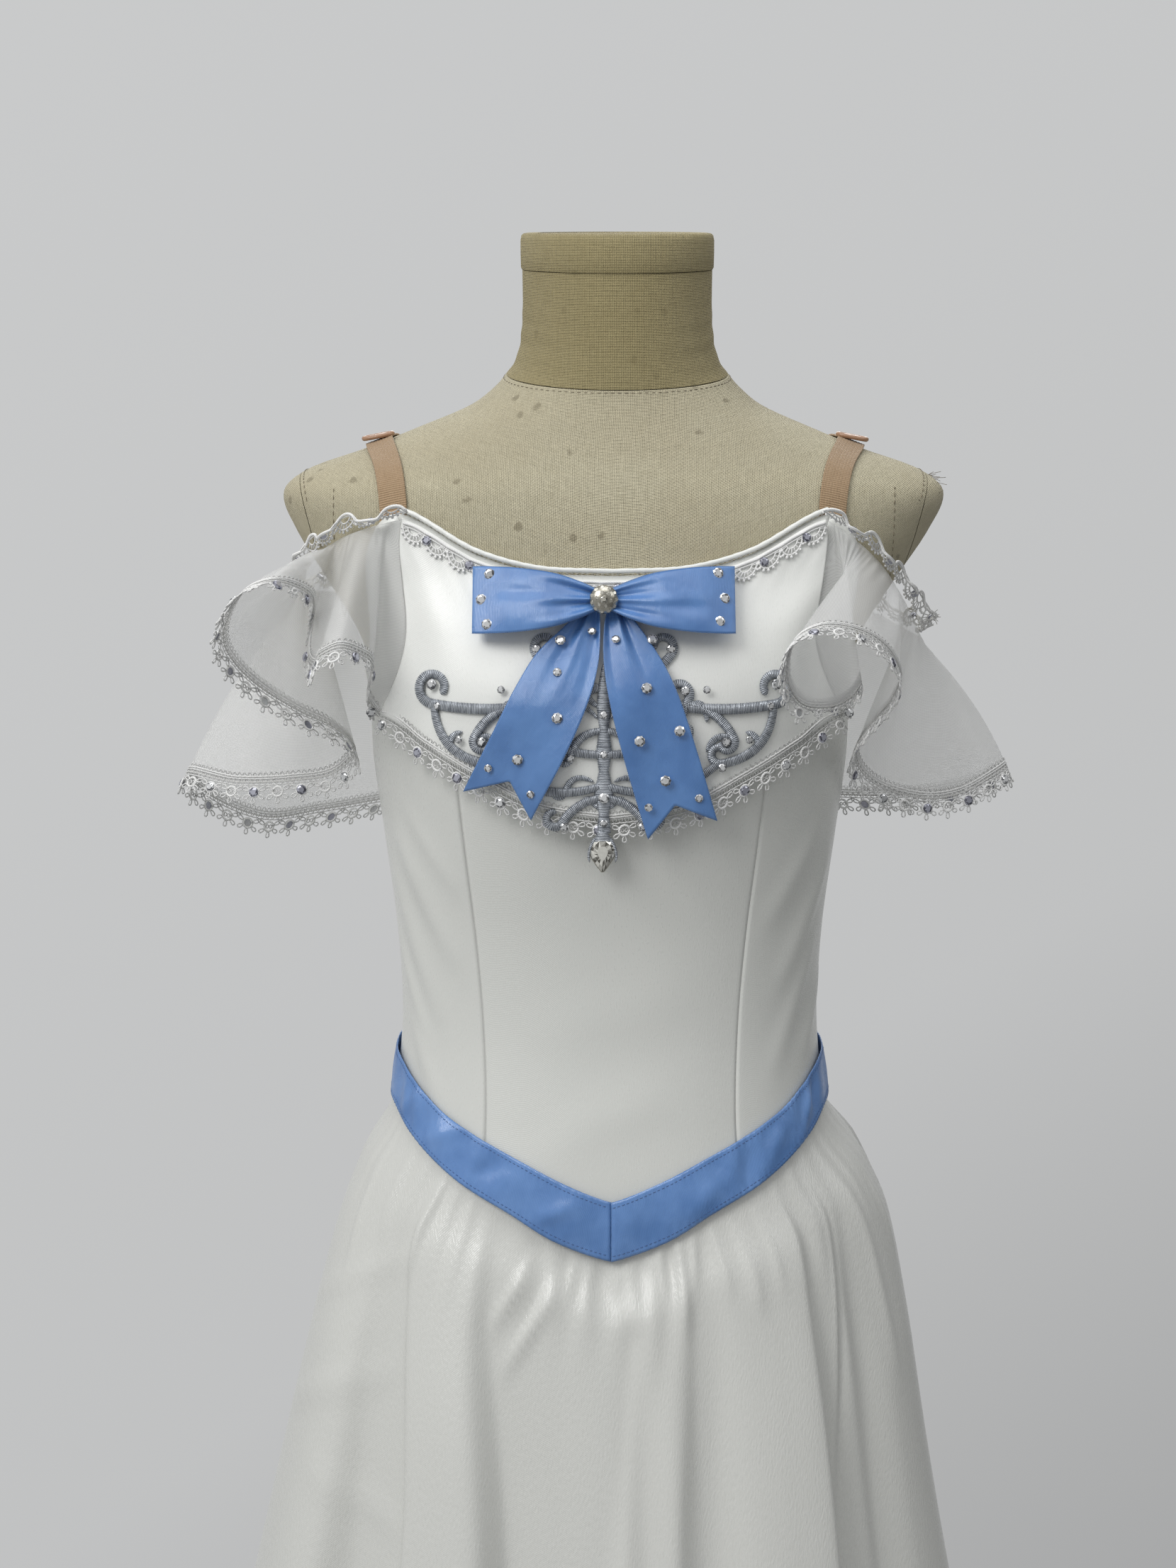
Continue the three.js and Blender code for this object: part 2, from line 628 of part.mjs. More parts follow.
// Narrow rolled edge along the neckline, over the bodice's top
function bindingGrid(back) {
  const side = back ? BERTHA_SIDE.backTop : BERTHA_SIDE.frontTop;
  const from = back ? side : -side;
  const to = back ? 360 - side : side;
  return makeGrid(1, 14, (drop, share) => {
    const angle = turned(lerp(from, to, share));
    return onForm(angle, edge('neck', angle) + 3.8 - drop * 2.9, BODICE_OUT);
  });
}
addMesh('neckline_binding_front', wall(bindingGrid(false), 2.6, -1), SATIN);
addMesh('neckline_binding_back', wall(bindingGrid(true), 2.6, -1), SATIN);

// Elastic line at the top of each sleeve: share of its length, distance out from the middle, place
const ELASTIC_LEFT = [
  { share: 0.15, out: 127, y: -63, z: 1196 },
  { share: 0.3, out: 144, y: -53, z: 1190 },
  { share: 0.42, out: 158, y: -37, z: 1181 },
  { share: 0.52, out: 167, y: -14, z: 1172 },
  { share: 0.62, out: 170, y: 10, z: 1167 },
  { share: 0.75, out: 162, y: 36, z: 1165 },
  { share: 0.88, out: 140, y: 62, z: 1166 },
];
const ELASTIC_RIGHT = [
  { share: 0.12, out: 126, y: -65.5, z: 1191 },
  { share: 0.26, out: 143, y: -53, z: 1177 },
  { share: 0.38, out: 156, y: -34, z: 1162 },
  { share: 0.5, out: 167, y: -14, z: 1147 },
  { share: 0.6, out: 172, y: 6, z: 1140 },
  { share: 0.73, out: 166, y: 32, z: 1145 },
  { share: 0.87, out: 142, y: 60, z: 1158 },
];
// Folds of each sleeve from the bust to the back: hem point, place on the elastic, puff of the cloth
const SLEEVE_LEFT = [
  { share: 0.05, out: 127, y: -68, z: 1107, puff: 0 },
  { share: 0.1, out: 123, y: -84, z: 1125, puff: 1 },
  { share: 0.13, out: 128, y: -100, z: 1131, puff: 2 },
  { share: 0.17, out: 137, y: -110, z: 1134, puff: 3 },
  { share: 0.21, out: 147, y: -106, z: 1130, puff: 2 },
  { share: 0.24, out: 152, y: -86, z: 1125, puff: 1 },
  { share: 0.265, out: 159, y: -59, z: 1130, puff: 0 },
  { share: 0.29, out: 158, y: -56, z: 1147, puff: 1 },
  { share: 0.325, out: 155, y: -86, z: 1161, puff: 4 },
  { share: 0.36, out: 170, y: -112, z: 1167, puff: 7 },
  { share: 0.4, out: 183, y: -110, z: 1163, puff: 6 },
  { share: 0.43, out: 194, y: -99, z: 1151, puff: 4 },
  { share: 0.455, out: 199, y: -86, z: 1137, puff: 2 },
  { share: 0.475, out: 195, y: -73, z: 1125, puff: 1 },
  { share: 0.49, out: 183, y: -61, z: 1112, puff: 0 },
  { share: 0.5, out: 165, y: -51, z: 1100, puff: 0 },
  { share: 0.51, out: 148, y: -42, z: 1091, puff: 0 },
  { share: 0.52, out: 138, y: -32, z: 1079, puff: 0 },
  { share: 0.53, out: 151, y: -21, z: 1065, puff: 1 },
  { share: 0.555, out: 175, y: -21, z: 1061, puff: 3 },
  { share: 0.59, out: 205, y: -17, z: 1060, puff: 4 },
  { share: 0.64, out: 235, y: 1, z: 1064, puff: 4 },
  { share: 0.71, out: 224, y: 24, z: 1048, puff: 6 },
  { share: 0.79, out: 197, y: 38, z: 1036, puff: 5 },
  { share: 0.88, out: 167, y: 54, z: 1039, puff: 4 },
];
const SLEEVE_RIGHT = [
  { share: 0.035, out: 127, y: -72, z: 1107, puff: 0 },
  { share: 0.06, out: 129, y: -84, z: 1116, puff: 0 },
  { share: 0.08, out: 121, y: -97, z: 1108, puff: 0 },
  { share: 0.1, out: 108, y: -111, z: 1104, puff: 0 },
  { share: 0.13, out: 93, y: -124, z: 1107, puff: 0 },
  { share: 0.16, out: 86, y: -132, z: 1120, puff: 1 },
  { share: 0.19, out: 89, y: -138, z: 1137, puff: 3 },
  { share: 0.22, out: 101, y: -138, z: 1144, puff: 5 },
  { share: 0.27, out: 118, y: -132, z: 1143, puff: 6 },
  { share: 0.32, out: 135, y: -120, z: 1135, puff: 5 },
  { share: 0.36, out: 146, y: -103, z: 1120, puff: 3 },
  { share: 0.4, out: 144, y: -86, z: 1107, puff: 1 },
  { share: 0.43, out: 137, y: -68, z: 1095, puff: 0 },
  { share: 0.455, out: 131, y: -50, z: 1082, puff: 0 },
  { share: 0.475, out: 134, y: -33, z: 1069, puff: 0 },
  { share: 0.5, out: 147, y: -22, z: 1058, puff: 1 },
  { share: 0.535, out: 172, y: -16, z: 1051, puff: 3 },
  { share: 0.575, out: 194, y: -7, z: 1053, puff: 5 },
  { share: 0.62, out: 213, y: 1, z: 1062, puff: 6 },
  { share: 0.67, out: 223, y: 12, z: 1067, puff: 6 },
  { share: 0.74, out: 212, y: 28, z: 1058, puff: 6 },
  { share: 0.82, out: 186, y: 42, z: 1050, puff: 5 },
  { share: 0.91, out: 158, y: 57, z: 1047, puff: 4 },
];
const SLEEVE_GAP = 1.35;
const ARM_MIDDLE = 140;
function sleeveSurface(side, elastic, folds) {
  const edgeLine = (back) => (v) => {
    const angle = berthaSide(v, back);
    const a = berthaPoint(side * angle, v);
    const b = berthaPoint(side * (angle + (back ? 2 : -2)), v);
    return a.add(a.clone().sub(b).setLength(SLEEVE_GAP));
  };
  const first = edgeLine(false);
  const last = edgeLine(true);
  const band = [
    { share: 0, place: first(0) },
    ...elastic.map((row) => ({ share: row.share, place: new THREE.Vector3(side * row.out, row.y, row.z) })),
    { share: 1, place: last(0) },
  ].map((row) => ({ share: row.share, x: row.place.x, y: row.place.y, z: row.place.z }));
  const onBand = (share) => {
    const place = ['x', 'y', 'z'].map((axis) => column(band, 'share', axis, share));
    return new THREE.Vector3(...place);
  };
  const fold = (row) => (v) => {
    const hem = new THREE.Vector3(side * row.out, row.y, row.z);
    const p = onBand(row.share).lerp(hem, v);
    const outward = new THREE.Vector3(p.x - side * ARM_MIDDLE, p.y, 18).normalize();
    return p.addScaledVector(outward, row.puff * 4 * v * (1 - v));
  };
  const sections = [first, ...folds.map(fold), last];
  return (u, v) => {
    const curve = new THREE.CatmullRomCurve3(sections.map((section) => section(v)), false, 'centripetal');
    return curve.getPoint(u);
  };
}
const SLEEVES = [
  { name: 'sleeve_left', side: -1, surface: sleeveSurface(-1, ELASTIC_LEFT, SLEEVE_LEFT), across: 44 },
  { name: 'sleeve_right', side: 1, surface: sleeveSurface(1, ELASTIC_RIGHT, SLEEVE_RIGHT), across: 42 },
];
for (const sleeve of SLEEVES) {
  const grid = makeGrid(5, sleeve.across, (v, u) => sleeve.surface(u, v));
  addMesh(sleeve.name, wall(grid, CLOTH, sleeve.side > 0 ? -1 : 1), ORGANZA);
}

const LACE_GAP = 0.85;
// Lace edging: a strip that goes on from an edge, scalloped at its free side
function edgeStrip(surface, at, inside, reachAt, wayAt, wave = 0) {
  const steps = 400;
  const line = Array.from({ length: steps + 1 }, (_, i) => surface(i / steps, at));
  const lengths = [0];
  for (let i = 1; i <= steps; i += 1) lengths.push(lengths[i - 1] + line[i].distanceTo(line[i - 1]));
  const total = lengths[steps];
  const inset = 1.6;
  const scallops = Math.round(total / LACE_PITCH);
  const shareAt = (length) => {
    let i = 1;
    while (i < steps && lengths[i] < length) i += 1;
    return (i - 1 + (length - lengths[i - 1]) / (lengths[i] - lengths[i - 1])) / steps;
  };
  return makeGrid(1, scallops * 2, (drop, share) => {
    const u = THREE.MathUtils.clamp(shareAt(lerp(inset, total - inset, share)), 0, 1);
    const p = surface(u, at);
    const way = wayAt ? wayAt(p, u) : p.clone().sub(surface(u, inside)).normalize();
    const peak = Math.round(share * scallops * 2) % 2 === 1;
    const span = reachAt(u);
    const reach = drop === 0 ? span.start : span.depth * (peak ? 1 : 0.68);
    const along = surface(Math.min(u + 0.002, 1), at).sub(surface(Math.max(u - 0.002, 0), at));
    const out = along.cross(way).normalize().multiplyScalar(drop * wave * (peak ? 1 : -1));
    return p.addScaledVector(way, reach).add(out);
  });
}
const berthaSurface = (back) => (u, v) => berthaPoint(turned(berthaAngle(u, Math.min(v, 1), back)), v);
// Shares of a sleeve's hem where two folds meet and the lace is narrower
const VALLEYS = [
  { side: -1, from: 0.2, to: 0.345, start: 4.2, depth: 8 },
  { side: -1, from: 0, to: 0.09, start: 1.2, depth: 6.4 },
  { side: 1, from: 0.02, to: 0.13, start: 1.1, depth: 5 },
];
const laceReach = (side) => (u) => {
  const valley = VALLEYS.find((row) => row.side === side && u > row.from && u < row.to);
  return valley || { start: LACE_GAP, depth: LACE_DEPTH };
};
for (const sleeve of SLEEVES) {
  const hem = edgeStrip(sleeve.surface, 1, 0.93, laceReach(sleeve.side), null);
  addMesh(`lace_hem${sleeve.name.slice(6)}`, wall(hem, LACE, sleeve.side > 0 ? -1 : 1), LACE_LOOK);
  const standing = (p, u) => new THREE.Vector3(p.x - sleeve.side * ARM_MIDDLE, p.y, 0).setLength(0.85)
    .add(new THREE.Vector3(0, 0, lerp(0.25, 0.75, smooth(u, 0, 0.3)))).normalize();
  const top = edgeStrip(sleeve.surface, 0, 0.1, () => ({ start: 3.2, depth: LACE_DEPTH }), standing, 2);
  addMesh(`lace_top${sleeve.name.slice(6)}`, wall(top, LACE, sleeve.side > 0 ? 1 : -1), LACE_LOOK);
}
for (const back of [false, true]) {
  const place = back ? 'back' : 'front';
  const hem = edgeStrip(berthaSurface(back), 1, 0.93, () => ({ start: LACE_GAP, depth: LACE_DEPTH }), null);
  addMesh(`lace_hem_${place}`, wall(hem, LACE, -1), LACE_LOOK);
  const top = makeGrid(1, BERTHA_ACROSS, (drop, share) => {
    const low = (Math.round(share * BERTHA_ACROSS) % 2 === 1 ? 0.105 : 0.08);
    const v = drop === 0 ? 0.012 : low;
    return berthaPoint(turned(berthaAngle(share, v, back)), v, CLOTH + 0.9);
  });
  addMesh(`lace_top_${place}`, wall(top, LACE, -1), LACE_LOOK);
}

// Shoulder straps of flat elastic, over the form from the front corner to the back corner
const STRAPS = [
  { side: -1, front: 114, top: 127, back: 112 },
  { side: 1, front: 116, top: 133, back: 113 },
];
const STRAP_TURN = { front: 42.6, top: 90, back: 160 };
const SLIDER = { turn: 85, length: 10, width: 18, thick: 5.5 };
function shoulderPoint(x, turn, out) {
  const center = new THREE.Vector3(x, 0, 1150);
  const way = new THREE.Vector3(0, -Math.cos(radians(turn)), Math.sin(radians(turn)));
  let low = 0;
  let high = 140;
  for (let i = 0; i < 24; i += 1) {
    const mid = (low + high) / 2;
    if (formField(center.clone().addScaledVector(way, mid)) < 0) low = mid;
    else high = mid;
  }
  const p = center.addScaledVector(way, low);
  const n = formNormal(p);
  n.x = 0;
  n.normalize();
  return p.addScaledVector(n, out);
}
function strapPoint(strap, turn, across, out) {
  const half = turn < STRAP_TURN.top;
  const share = half ? (turn - STRAP_TURN.front) / (STRAP_TURN.top - STRAP_TURN.front)
    : (STRAP_TURN.back - turn) / (STRAP_TURN.back - STRAP_TURN.top);
  const middle = lerp(half ? strap.front : strap.back, strap.top, smooth(share, 0, 1) * 0.6 + share * 0.4);
  return shoulderPoint(strap.side * (middle + across), turn, out);
}
const sideName = (side) => (side > 0 ? 'right' : 'left');
for (const strap of STRAPS) {
  const runs = [
    { name: 'strap_front', from: STRAP_TURN.front, to: SLIDER.turn - 0.2, steps: 8 },
    { name: 'strap_back', from: SLIDER.turn + 0.2, to: STRAP_TURN.back, steps: 12 },
  ];
  for (const run of runs) {
    const grid = makeGrid(run.steps, 1, (along, share) => {
      const turn = lerp(run.from, run.to, along);
      return strapPoint(strap, turn, (share - 0.5) * STRAP_WIDTH, 1.2);
    });
    addMesh(`${run.name}_${sideName(strap.side)}`, wall(grid, 1, strap.side), ELASTIC);
  }
  const seat = strapPoint(strap, SLIDER.turn, 0, 4.4);
  const ahead = strapPoint(strap, SLIDER.turn + 3, 0, 2.9).sub(strapPoint(strap, SLIDER.turn - 3, 0, 2.9));
  const across = strapPoint(strap, SLIDER.turn, 6, 2.9).sub(strapPoint(strap, SLIDER.turn, -6, 2.9));
  across.multiplyScalar(strap.side).setZ(across.z * 0.5).normalize();
  const upward = across.clone().cross(ahead).normalize();
  const turn = new THREE.Matrix4().makeBasis(across, upward.clone().cross(across), upward);
  const outline = new THREE.Shape();
  outline.absellipse(0, 0, SLIDER.width / 2, SLIDER.length / 2, 0, Math.PI * 2);
  const body = new THREE.ExtrudeGeometry(outline, {
    depth: SLIDER.thick,
    bevelEnabled: false,
    curveSegments: 10,
  });
  body.applyMatrix4(turn);
  body.translate(seat.x, seat.y, seat.z);
  addMesh(`slider_${sideName(strap.side)}`, body, TAN);
}

// Bow of flat satin ribbon on the bust, stood off the bertha
const BOW_HEIGHT = 1158;
function bustPoint(x, z, off) {
  const top = edge('neck', Math.abs(x) * 0.3) - BERTHA_TOP_DROP;
  const hem = column(BERTHA, 'angle', 'hem', Math.abs(x) * 0.42);
  const drop = THREE.MathUtils.clamp((top - z) / (top - hem), 0, 1);
  return onFront(x, z, BERTHA_OUT + 4.5 * smooth(drop, 0, 1) + CLOTH + off);
}
// Ribbon run of one loop: reach from the knot, distance off the dress, half width
const LOOP = [
  { at: 0, reach: 4, off: 12, half: 5.5 },
  { at: 1, reach: 12, off: 14, half: 9 },
  { at: 2, reach: 26, off: 14.5, half: 13.5 },
  { at: 3, reach: 44, off: 13, half: 16.2 },
  { at: 4, reach: 60, off: 11, half: 17 },
  { at: 5, reach: 66, off: 9.3, half: 17 },
  { at: 6, reach: 66, off: 7.2, half: 17 },
  { at: 7, reach: 58, off: 6.2, half: 17 },
  { at: 8, reach: 38, off: 6, half: 15.5 },
  { at: 9, reach: 18, off: 6.6, half: 11 },
  { at: 10, reach: 4, off: 8, half: 5.5 },
];
for (const side of [-1, 1]) {
  const grid = makeGrid(2, LOOP.length - 1, (drop, share) => {
    const row = LOOP[Math.round(share * (LOOP.length - 1))];
    const crease = row.half < 12 ? -0.8 : 0;
    const z = BOW_HEIGHT + lerp(row.half, -row.half, drop);
    return bustPoint(DRESS_CENTER + side * row.reach, z, row.off + (drop === 0.5 ? crease : 0));
  });
  addMesh(`bow_loop_${sideName(side)}`, wall(grid, 0.9, side), BLUE);
}
// Ribbon run of each tail: drop from the knot, sideways place of its middle, half width
const TAIL_LEFT = [
  { fall: 3, shift: -6, half: 3.4, off: 4.4 },
  { fall: 12, shift: -10, half: 8, off: 4.6 },
  { fall: 28, shift: -17, half: 14, off: 4.9 },
  { fall: 50, shift: -27, half: 17, off: 5.4 },
  { fall: 76, shift: -39.5, half: 17.6, off: 6.2 },
  { fall: 98, shift: -51, half: 17.4, off: 7 },
];
const TAIL_RIGHT = [
  { fall: 3, shift: 6, half: 3.4, off: 4.4 },
  { fall: 12, shift: 8.5, half: 8, off: 4.7 },
  { fall: 28, shift: 13, half: 13, off: 5 },
  { fall: 50, shift: 20, half: 16.5, off: 5.5 },
  { fall: 80, shift: 29, half: 17.6, off: 6.4 },
  { fall: 110, shift: 38, half: 17.6, off: 7.4 },
];
const TAIL_NOTCH = 13;
for (const tail of [{ side: -1, rows: TAIL_LEFT, lean: 0.4 }, { side: 1, rows: TAIL_RIGHT, lean: 0.26 }]) {
  const last = tail.rows.length - 1;
  const grid = makeGrid(last, 4, (along, share) => {
    const row = tail.rows[Math.round(along * last)];
    const across = (share - 0.5) * 2;
    const x = DRESS_CENTER + row.shift + across * row.half;
    let fall = row.fall - tail.side * across * row.half * tail.lean * smooth(row.fall, 3, 40);
    if (row === tail.rows[last]) fall += TAIL_NOTCH * (Math.abs(across) - 0.5);
    const ripple = 0.7 * Math.cos(across * 5) * smooth(row.fall, 3, 30) * (1 - smooth(row.fall, 40, 90));
    return bustPoint(x, BOW_HEIGHT - fall, row.off + ripple);
  });
  addMesh(`bow_tail_${sideName(tail.side)}`, wall(grid, 0.9, -1), BLUE);
}
// Round cluster brooch over the knot, on a short stem between the loops
const BROOCH = [[0, 0], [2.4, 0], [2.4, 11.8], [7.2, 11.8], [7.2, 13.6], [5.6, 16.4], [3, 17.8], [0, 18.2]];
const knot = bustPoint(DRESS_CENTER, BOW_HEIGHT, 3.2);
const brooch = lathe(BROOCH, 14);
brooch.rotateX(Math.PI / 2);
brooch.translate(knot.x, knot.y, knot.z);
addMesh('bow_brooch', brooch, CRYSTAL);

// Raised corded scrollwork on the bust, each stroke mirrored: ends, bow of its arc, end curl
const SCROLLS = [
  { fromX: 2, fromZ: 1114, toX: 88, toZ: 1105, bow: -6, curl: 8.5, turn: 310, wide: 5 },
  { fromX: 40, fromZ: 1106, toX: 66, toZ: 1088, bow: 4, curl: 4.6, turn: -230, wide: 4.4 },
  { fromX: 87, fromZ: 1104.5, toX: 60, toZ: 1075, bow: 8, curl: 5, turn: -220, wide: 4.6 },
  { fromX: 1, fromZ: 1080, toX: 43, toZ: 1108, bow: -9, curl: 6, turn: 240, wide: 4.8 },
  { fromX: 1, fromZ: 1064, toX: 60, toZ: 1077, bow: -9, curl: 0, turn: 0, wide: 4.6 },
  { fromX: 0, fromZ: 1058, toX: 21, toZ: 1045, bow: 3, curl: 4.8, turn: 270, wide: 4.4 },
  { fromX: 2, fromZ: 1114, toX: 34, toZ: 1130, bow: -4, curl: 6, turn: 250, wide: 4.4 },
  { fromX: 1, fromZ: 1092, toX: 17, toZ: 1078, bow: 4, curl: 3.6, turn: 160, wide: 4 },
];
const SPINE = [
  { z: 1126, half: 0.8 },
  { z: 1112, half: 2.8 },
  { z: 1100, half: 3.8 },
  { z: 1092, half: 2.4 },
  { z: 1080, half: 4 },
  { z: 1070, half: 2.6 },
  { z: 1058, half: 5 },
  { z: 1047, half: 2.6 },
  { z: 1038.6, half: 4 },
];
const CORD_HEIGHT = 2.1;
const CORD_FOOT = 0.6;
function strokeLine(stroke) {
  const from = new THREE.Vector2(stroke.fromX, stroke.fromZ);
  const to = new THREE.Vector2(stroke.toX, stroke.toZ);
  const way = to.clone().sub(from);
  const length = way.length();
  way.normalize();
  const left = new THREE.Vector2(-way.y, way.x);
  const line = [];
  const steps = Math.max(3, Math.round(length / 12));
  for (let i = 0; i <= steps; i += 1) {
    const t = i / steps;
    line.push(from.clone().lerp(to, t).addScaledVector(left, stroke.bow * 4 * t * (1 - t)));
  }
  if (stroke.curl === 0) return line;
  const ending = way.clone().multiplyScalar(length).addScaledVector(left, -4 * stroke.bow).normalize();
  let heading = Math.atan2(ending.y, ending.x);
  const turns = Math.max(4, Math.round(Math.abs(stroke.turn) / 58));
  let at = to.clone();
  for (let i = 0; i < turns; i += 1) {
    const radius = stroke.curl * lerp(1, 0.5, i / turns);
    const turn = radians(stroke.turn / turns);
    const chord = 2 * radius * Math.sin(Math.abs(turn) / 2);
    heading += turn / 2;
    at = at.clone().add(new THREE.Vector2(Math.cos(heading), Math.sin(heading)).multiplyScalar(chord));
    heading += turn / 2;
    line.push(at);
  }
  return line;
}
// A cord of three-sided section along a line on the bust
function cord(line, halfAt) {
  return line.map((p, i) => {
    const before = line[Math.max(i - 1, 0)];
    const after = line[Math.min(i + 1, line.length - 1)];
    const way = after.clone().sub(before).normalize();
    const left = new THREE.Vector2(-way.y, way.x).multiplyScalar(halfAt(i / (line.length - 1)));
    return [
      bustPoint(DRESS_CENTER + p.x + left.x, p.y + left.y, CORD_FOOT),
      bustPoint(DRESS_CENTER + p.x, p.y, CORD_FOOT + CORD_HEIGHT),
      bustPoint(DRESS_CENTER + p.x - left.x, p.y - left.y, CORD_FOOT),
    ];
  });
}
function cordSolid(line, halfAt) {
  const rings = cord(line, halfAt);
  const body = toSolid(loft(rings));
  return body.volume() < 0 ? toSolid(loft(rings.map((ring) => [...ring].reverse()))) : body;
}
let scrollwork = cordSolid(
  SPINE.map((row) => new THREE.Vector2(0, row.z)),
  (t) => SPINE[Math.round(t * (SPINE.length - 1))].half,
);
for (const stroke of SCROLLS) {
  for (const side of [-1, 1]) {
    const line = strokeLine(stroke).map((p) => new THREE.Vector2(side * p.x, p.y));
    const half = (t) => (stroke.wide / 2) * (0.7 + 0.3 * Math.sin(Math.PI * t));
    scrollwork = scrollwork.add(cordSolid(line, half));
  }
}
addMesh('applique', fromSolid(scrollwork), SILVER);

// Drop crystal under the scrollwork
const CRYSTAL_TOP = 1037.8;
const CRYSTAL_LENGTH = 18;
const CRYSTAL_OUTLINE = [
  { down: 0, half: 2.4 },
  { down: 0.14, half: 5.2 },
  { down: 0.36, half: 6.5 },
  { down: 0.6, half: 5.4 },
  { down: 0.82, half: 2.9 },
  { down: 1, half: 0.5 },
];
const CRYSTAL_LEVELS = [
  { off: 0.6, scale: 0.82 },
  { off: 2.2, scale: 1 },
  { off: 4.8, scale: 0.55 },
];
const crystalRings = CRYSTAL_LEVELS.map((level) => {
  const right = CRYSTAL_OUTLINE.map((row) => [row.half, row.down]);
  const left = [...CRYSTAL_OUTLINE].reverse().map((row) => [-row.half, row.down]);
  return [...right, ...left].map(([x, down]) => {
    const z = CRYSTAL_TOP - CRYSTAL_LENGTH * (0.45 + (down - 0.45) * level.scale);
    return bustPoint(DRESS_CENTER - 0.6 + x * level.scale, z, level.off);
  });
});
addMesh('crystal_drop', loft(crystalRings), CRYSTAL);

export default group;
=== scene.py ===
import math

import bmesh
import bpy
import numpy as np
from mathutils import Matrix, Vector


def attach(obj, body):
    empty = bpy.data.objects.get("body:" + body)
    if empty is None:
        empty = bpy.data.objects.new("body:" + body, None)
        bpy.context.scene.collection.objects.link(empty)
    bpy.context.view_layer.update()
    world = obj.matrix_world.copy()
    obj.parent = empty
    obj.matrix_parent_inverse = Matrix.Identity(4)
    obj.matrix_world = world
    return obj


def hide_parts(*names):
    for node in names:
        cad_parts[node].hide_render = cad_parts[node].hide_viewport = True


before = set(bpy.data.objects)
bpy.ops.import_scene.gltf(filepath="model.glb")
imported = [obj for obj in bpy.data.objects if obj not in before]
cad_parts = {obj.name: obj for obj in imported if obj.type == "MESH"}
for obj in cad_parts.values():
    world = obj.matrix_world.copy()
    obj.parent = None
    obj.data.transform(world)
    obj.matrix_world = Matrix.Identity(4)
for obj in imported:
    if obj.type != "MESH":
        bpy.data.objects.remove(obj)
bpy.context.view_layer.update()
rng = np.random.default_rng(7)

# Sizes in mm, angles in degrees from 0 at the front to 180 at the back, minus on the left
CLOTH = 1.2
BODICE_OUT = 2.6
BELT_OUT = 4.9
BERTHA_OUT = 5.7
DRESS_CENTER = -4
HEM_HEIGHT = 360
FORM_BOTTOM = 700
SEAM_ANGLE = 34
ARM_MIDDLE = 140
BOW_HEIGHT = 1158
CAP_HEIGHT = 1213
SIDES = ((-1, "left"), (1, "right"))
HALVES = ((False, "front"), (True, "back"))


def table(names, rows):
    """Named columns from rows of numbers."""
    names = names.split()
    return {n: np.array([row[i] for row in rows], float) for i, n in enumerate(names)}


# Sections of the form: height, half width, depth ahead and behind, squareness, tilt, place across
FORM = table("z half front back square slope shift", [
    (1283, 61, 49, 50, 2.1, 0.3, 4), (1276, 67, 50, 52, 2.15, 0.27, 4),
    (1265, 81.4, 53, 56, 2.2, 0.24, 3.5), (1253, 110, 57, 61, 2.3, 0.2, 2.6),
    (1242, 138, 61, 66, 2.4, 0.17, 2.2), (1232, 167, 65, 70, 2.45, 0.14, 2),
    (1220, 180.6, 69, 75, 2.5, 0.11, 2), (1199, 173.4, 74, 80, 2.5, 0.07, 1.4),
    (1170, 155, 80, 85, 2.45, 0.03, 0.6), (1140, 137, 91, 86, 2.4, 0, 0),
    (1110, 129, 98, 86, 2.35, 0, 0), (1075, 127, 97, 84, 2.3, 0, 0),
    (1030, 121, 90, 79, 2.3, 0, 0), (980, 114.5, 82, 72, 2.3, 0, 0),
    (930, 112, 80.5, 71.5, 2.3, 0, 0), (885, 117, 86, 80, 2.3, 0, 0),
    (840, 130, 93, 98, 2.35, 0, 0), (780, 138, 94, 106, 2.4, 0, 0),
    (700, 138, 95, 104, 2.4, 0, 0)])
# Heights of the dress's edges round the body
EDGES = table("angle neck beltTop beltFoot", [
    (0, 1170, 847, 816.5), (10, 1172, 857.5, 827), (20, 1181, 867.5, 840),
    (34, 1203, 879, 853), (46, 1184, 888.5, 864), (58, 1152, 899, 874),
    (72, 1128, 909, 884), (90, 1120, 915, 888), (110, 1128, 918, 890.5),
    (128, 1150, 919, 891.5), (144, 1168, 919.5, 892), (160, 1158, 920, 892.5),
    (180, 1153, 920, 892.5)])
# Angle of the front seams on their way down from the neckline
PRINCESS = table("drop angle", [(0, 34), (0.4, 35.5), (0.78, 33), (1, 29)])
# Sections of the skirt, without its folds
SKIRT = table("z half front back shift", [
    (900, 120, 92, 92, 0), (854, 139, 97, 116, 1.5), (825, 151, 101, 132, 2), (776, 162, 110, 144, 1),
    (700, 176, 126, 156, 0), (609, 193, 146, 172, 0), (480, 220, 170, 194, 0), (360, 245, 192, 214, 0)])
# Folds of the skirt: edges and their softness, drift, depth, share of the depth at the belt, and fall
FOLDS = table("left right softLeft softRight drift depth base start span end", [
    (-88, -52, 5, 3.5, 2, 20, 0, 20, 320, 900), (-43, -26, 2.4, 2.4, 8.5, 11, 0.3, 10, 200, 900),
    (3.5, 13.2, 2.4, 2.6, -3, 9, 0.3, 30, 200, 900), (19, 37.8, 6, 2.2, -1, 16, 0.3, 0, 240, 900),
    (42, 48.5, 3, 2.2, -8, 5, 0.3, 0, 320, 60), (54, 84, 5, 5, 0, 10, 0.3, 20, 320, 900),
    (98, 114, 3, 4, 0, 15, 0.3, 40, 240, 900), (124, 143, 5, 2.5, 3, 17, 0.3, 20, 240, 900),
    (152, 166, 2.5, 4, -3, 16, 0.3, 50, 240, 900), (184, 200, 4, 2.5, 2, 18, 0.3, 30, 240, 900),
    (210, 228, 3, 5, -2, 16, 0.3, 60, 240, 900), (240, 256, 4, 3, 3, 17, 0.3, 10, 240, 900)])
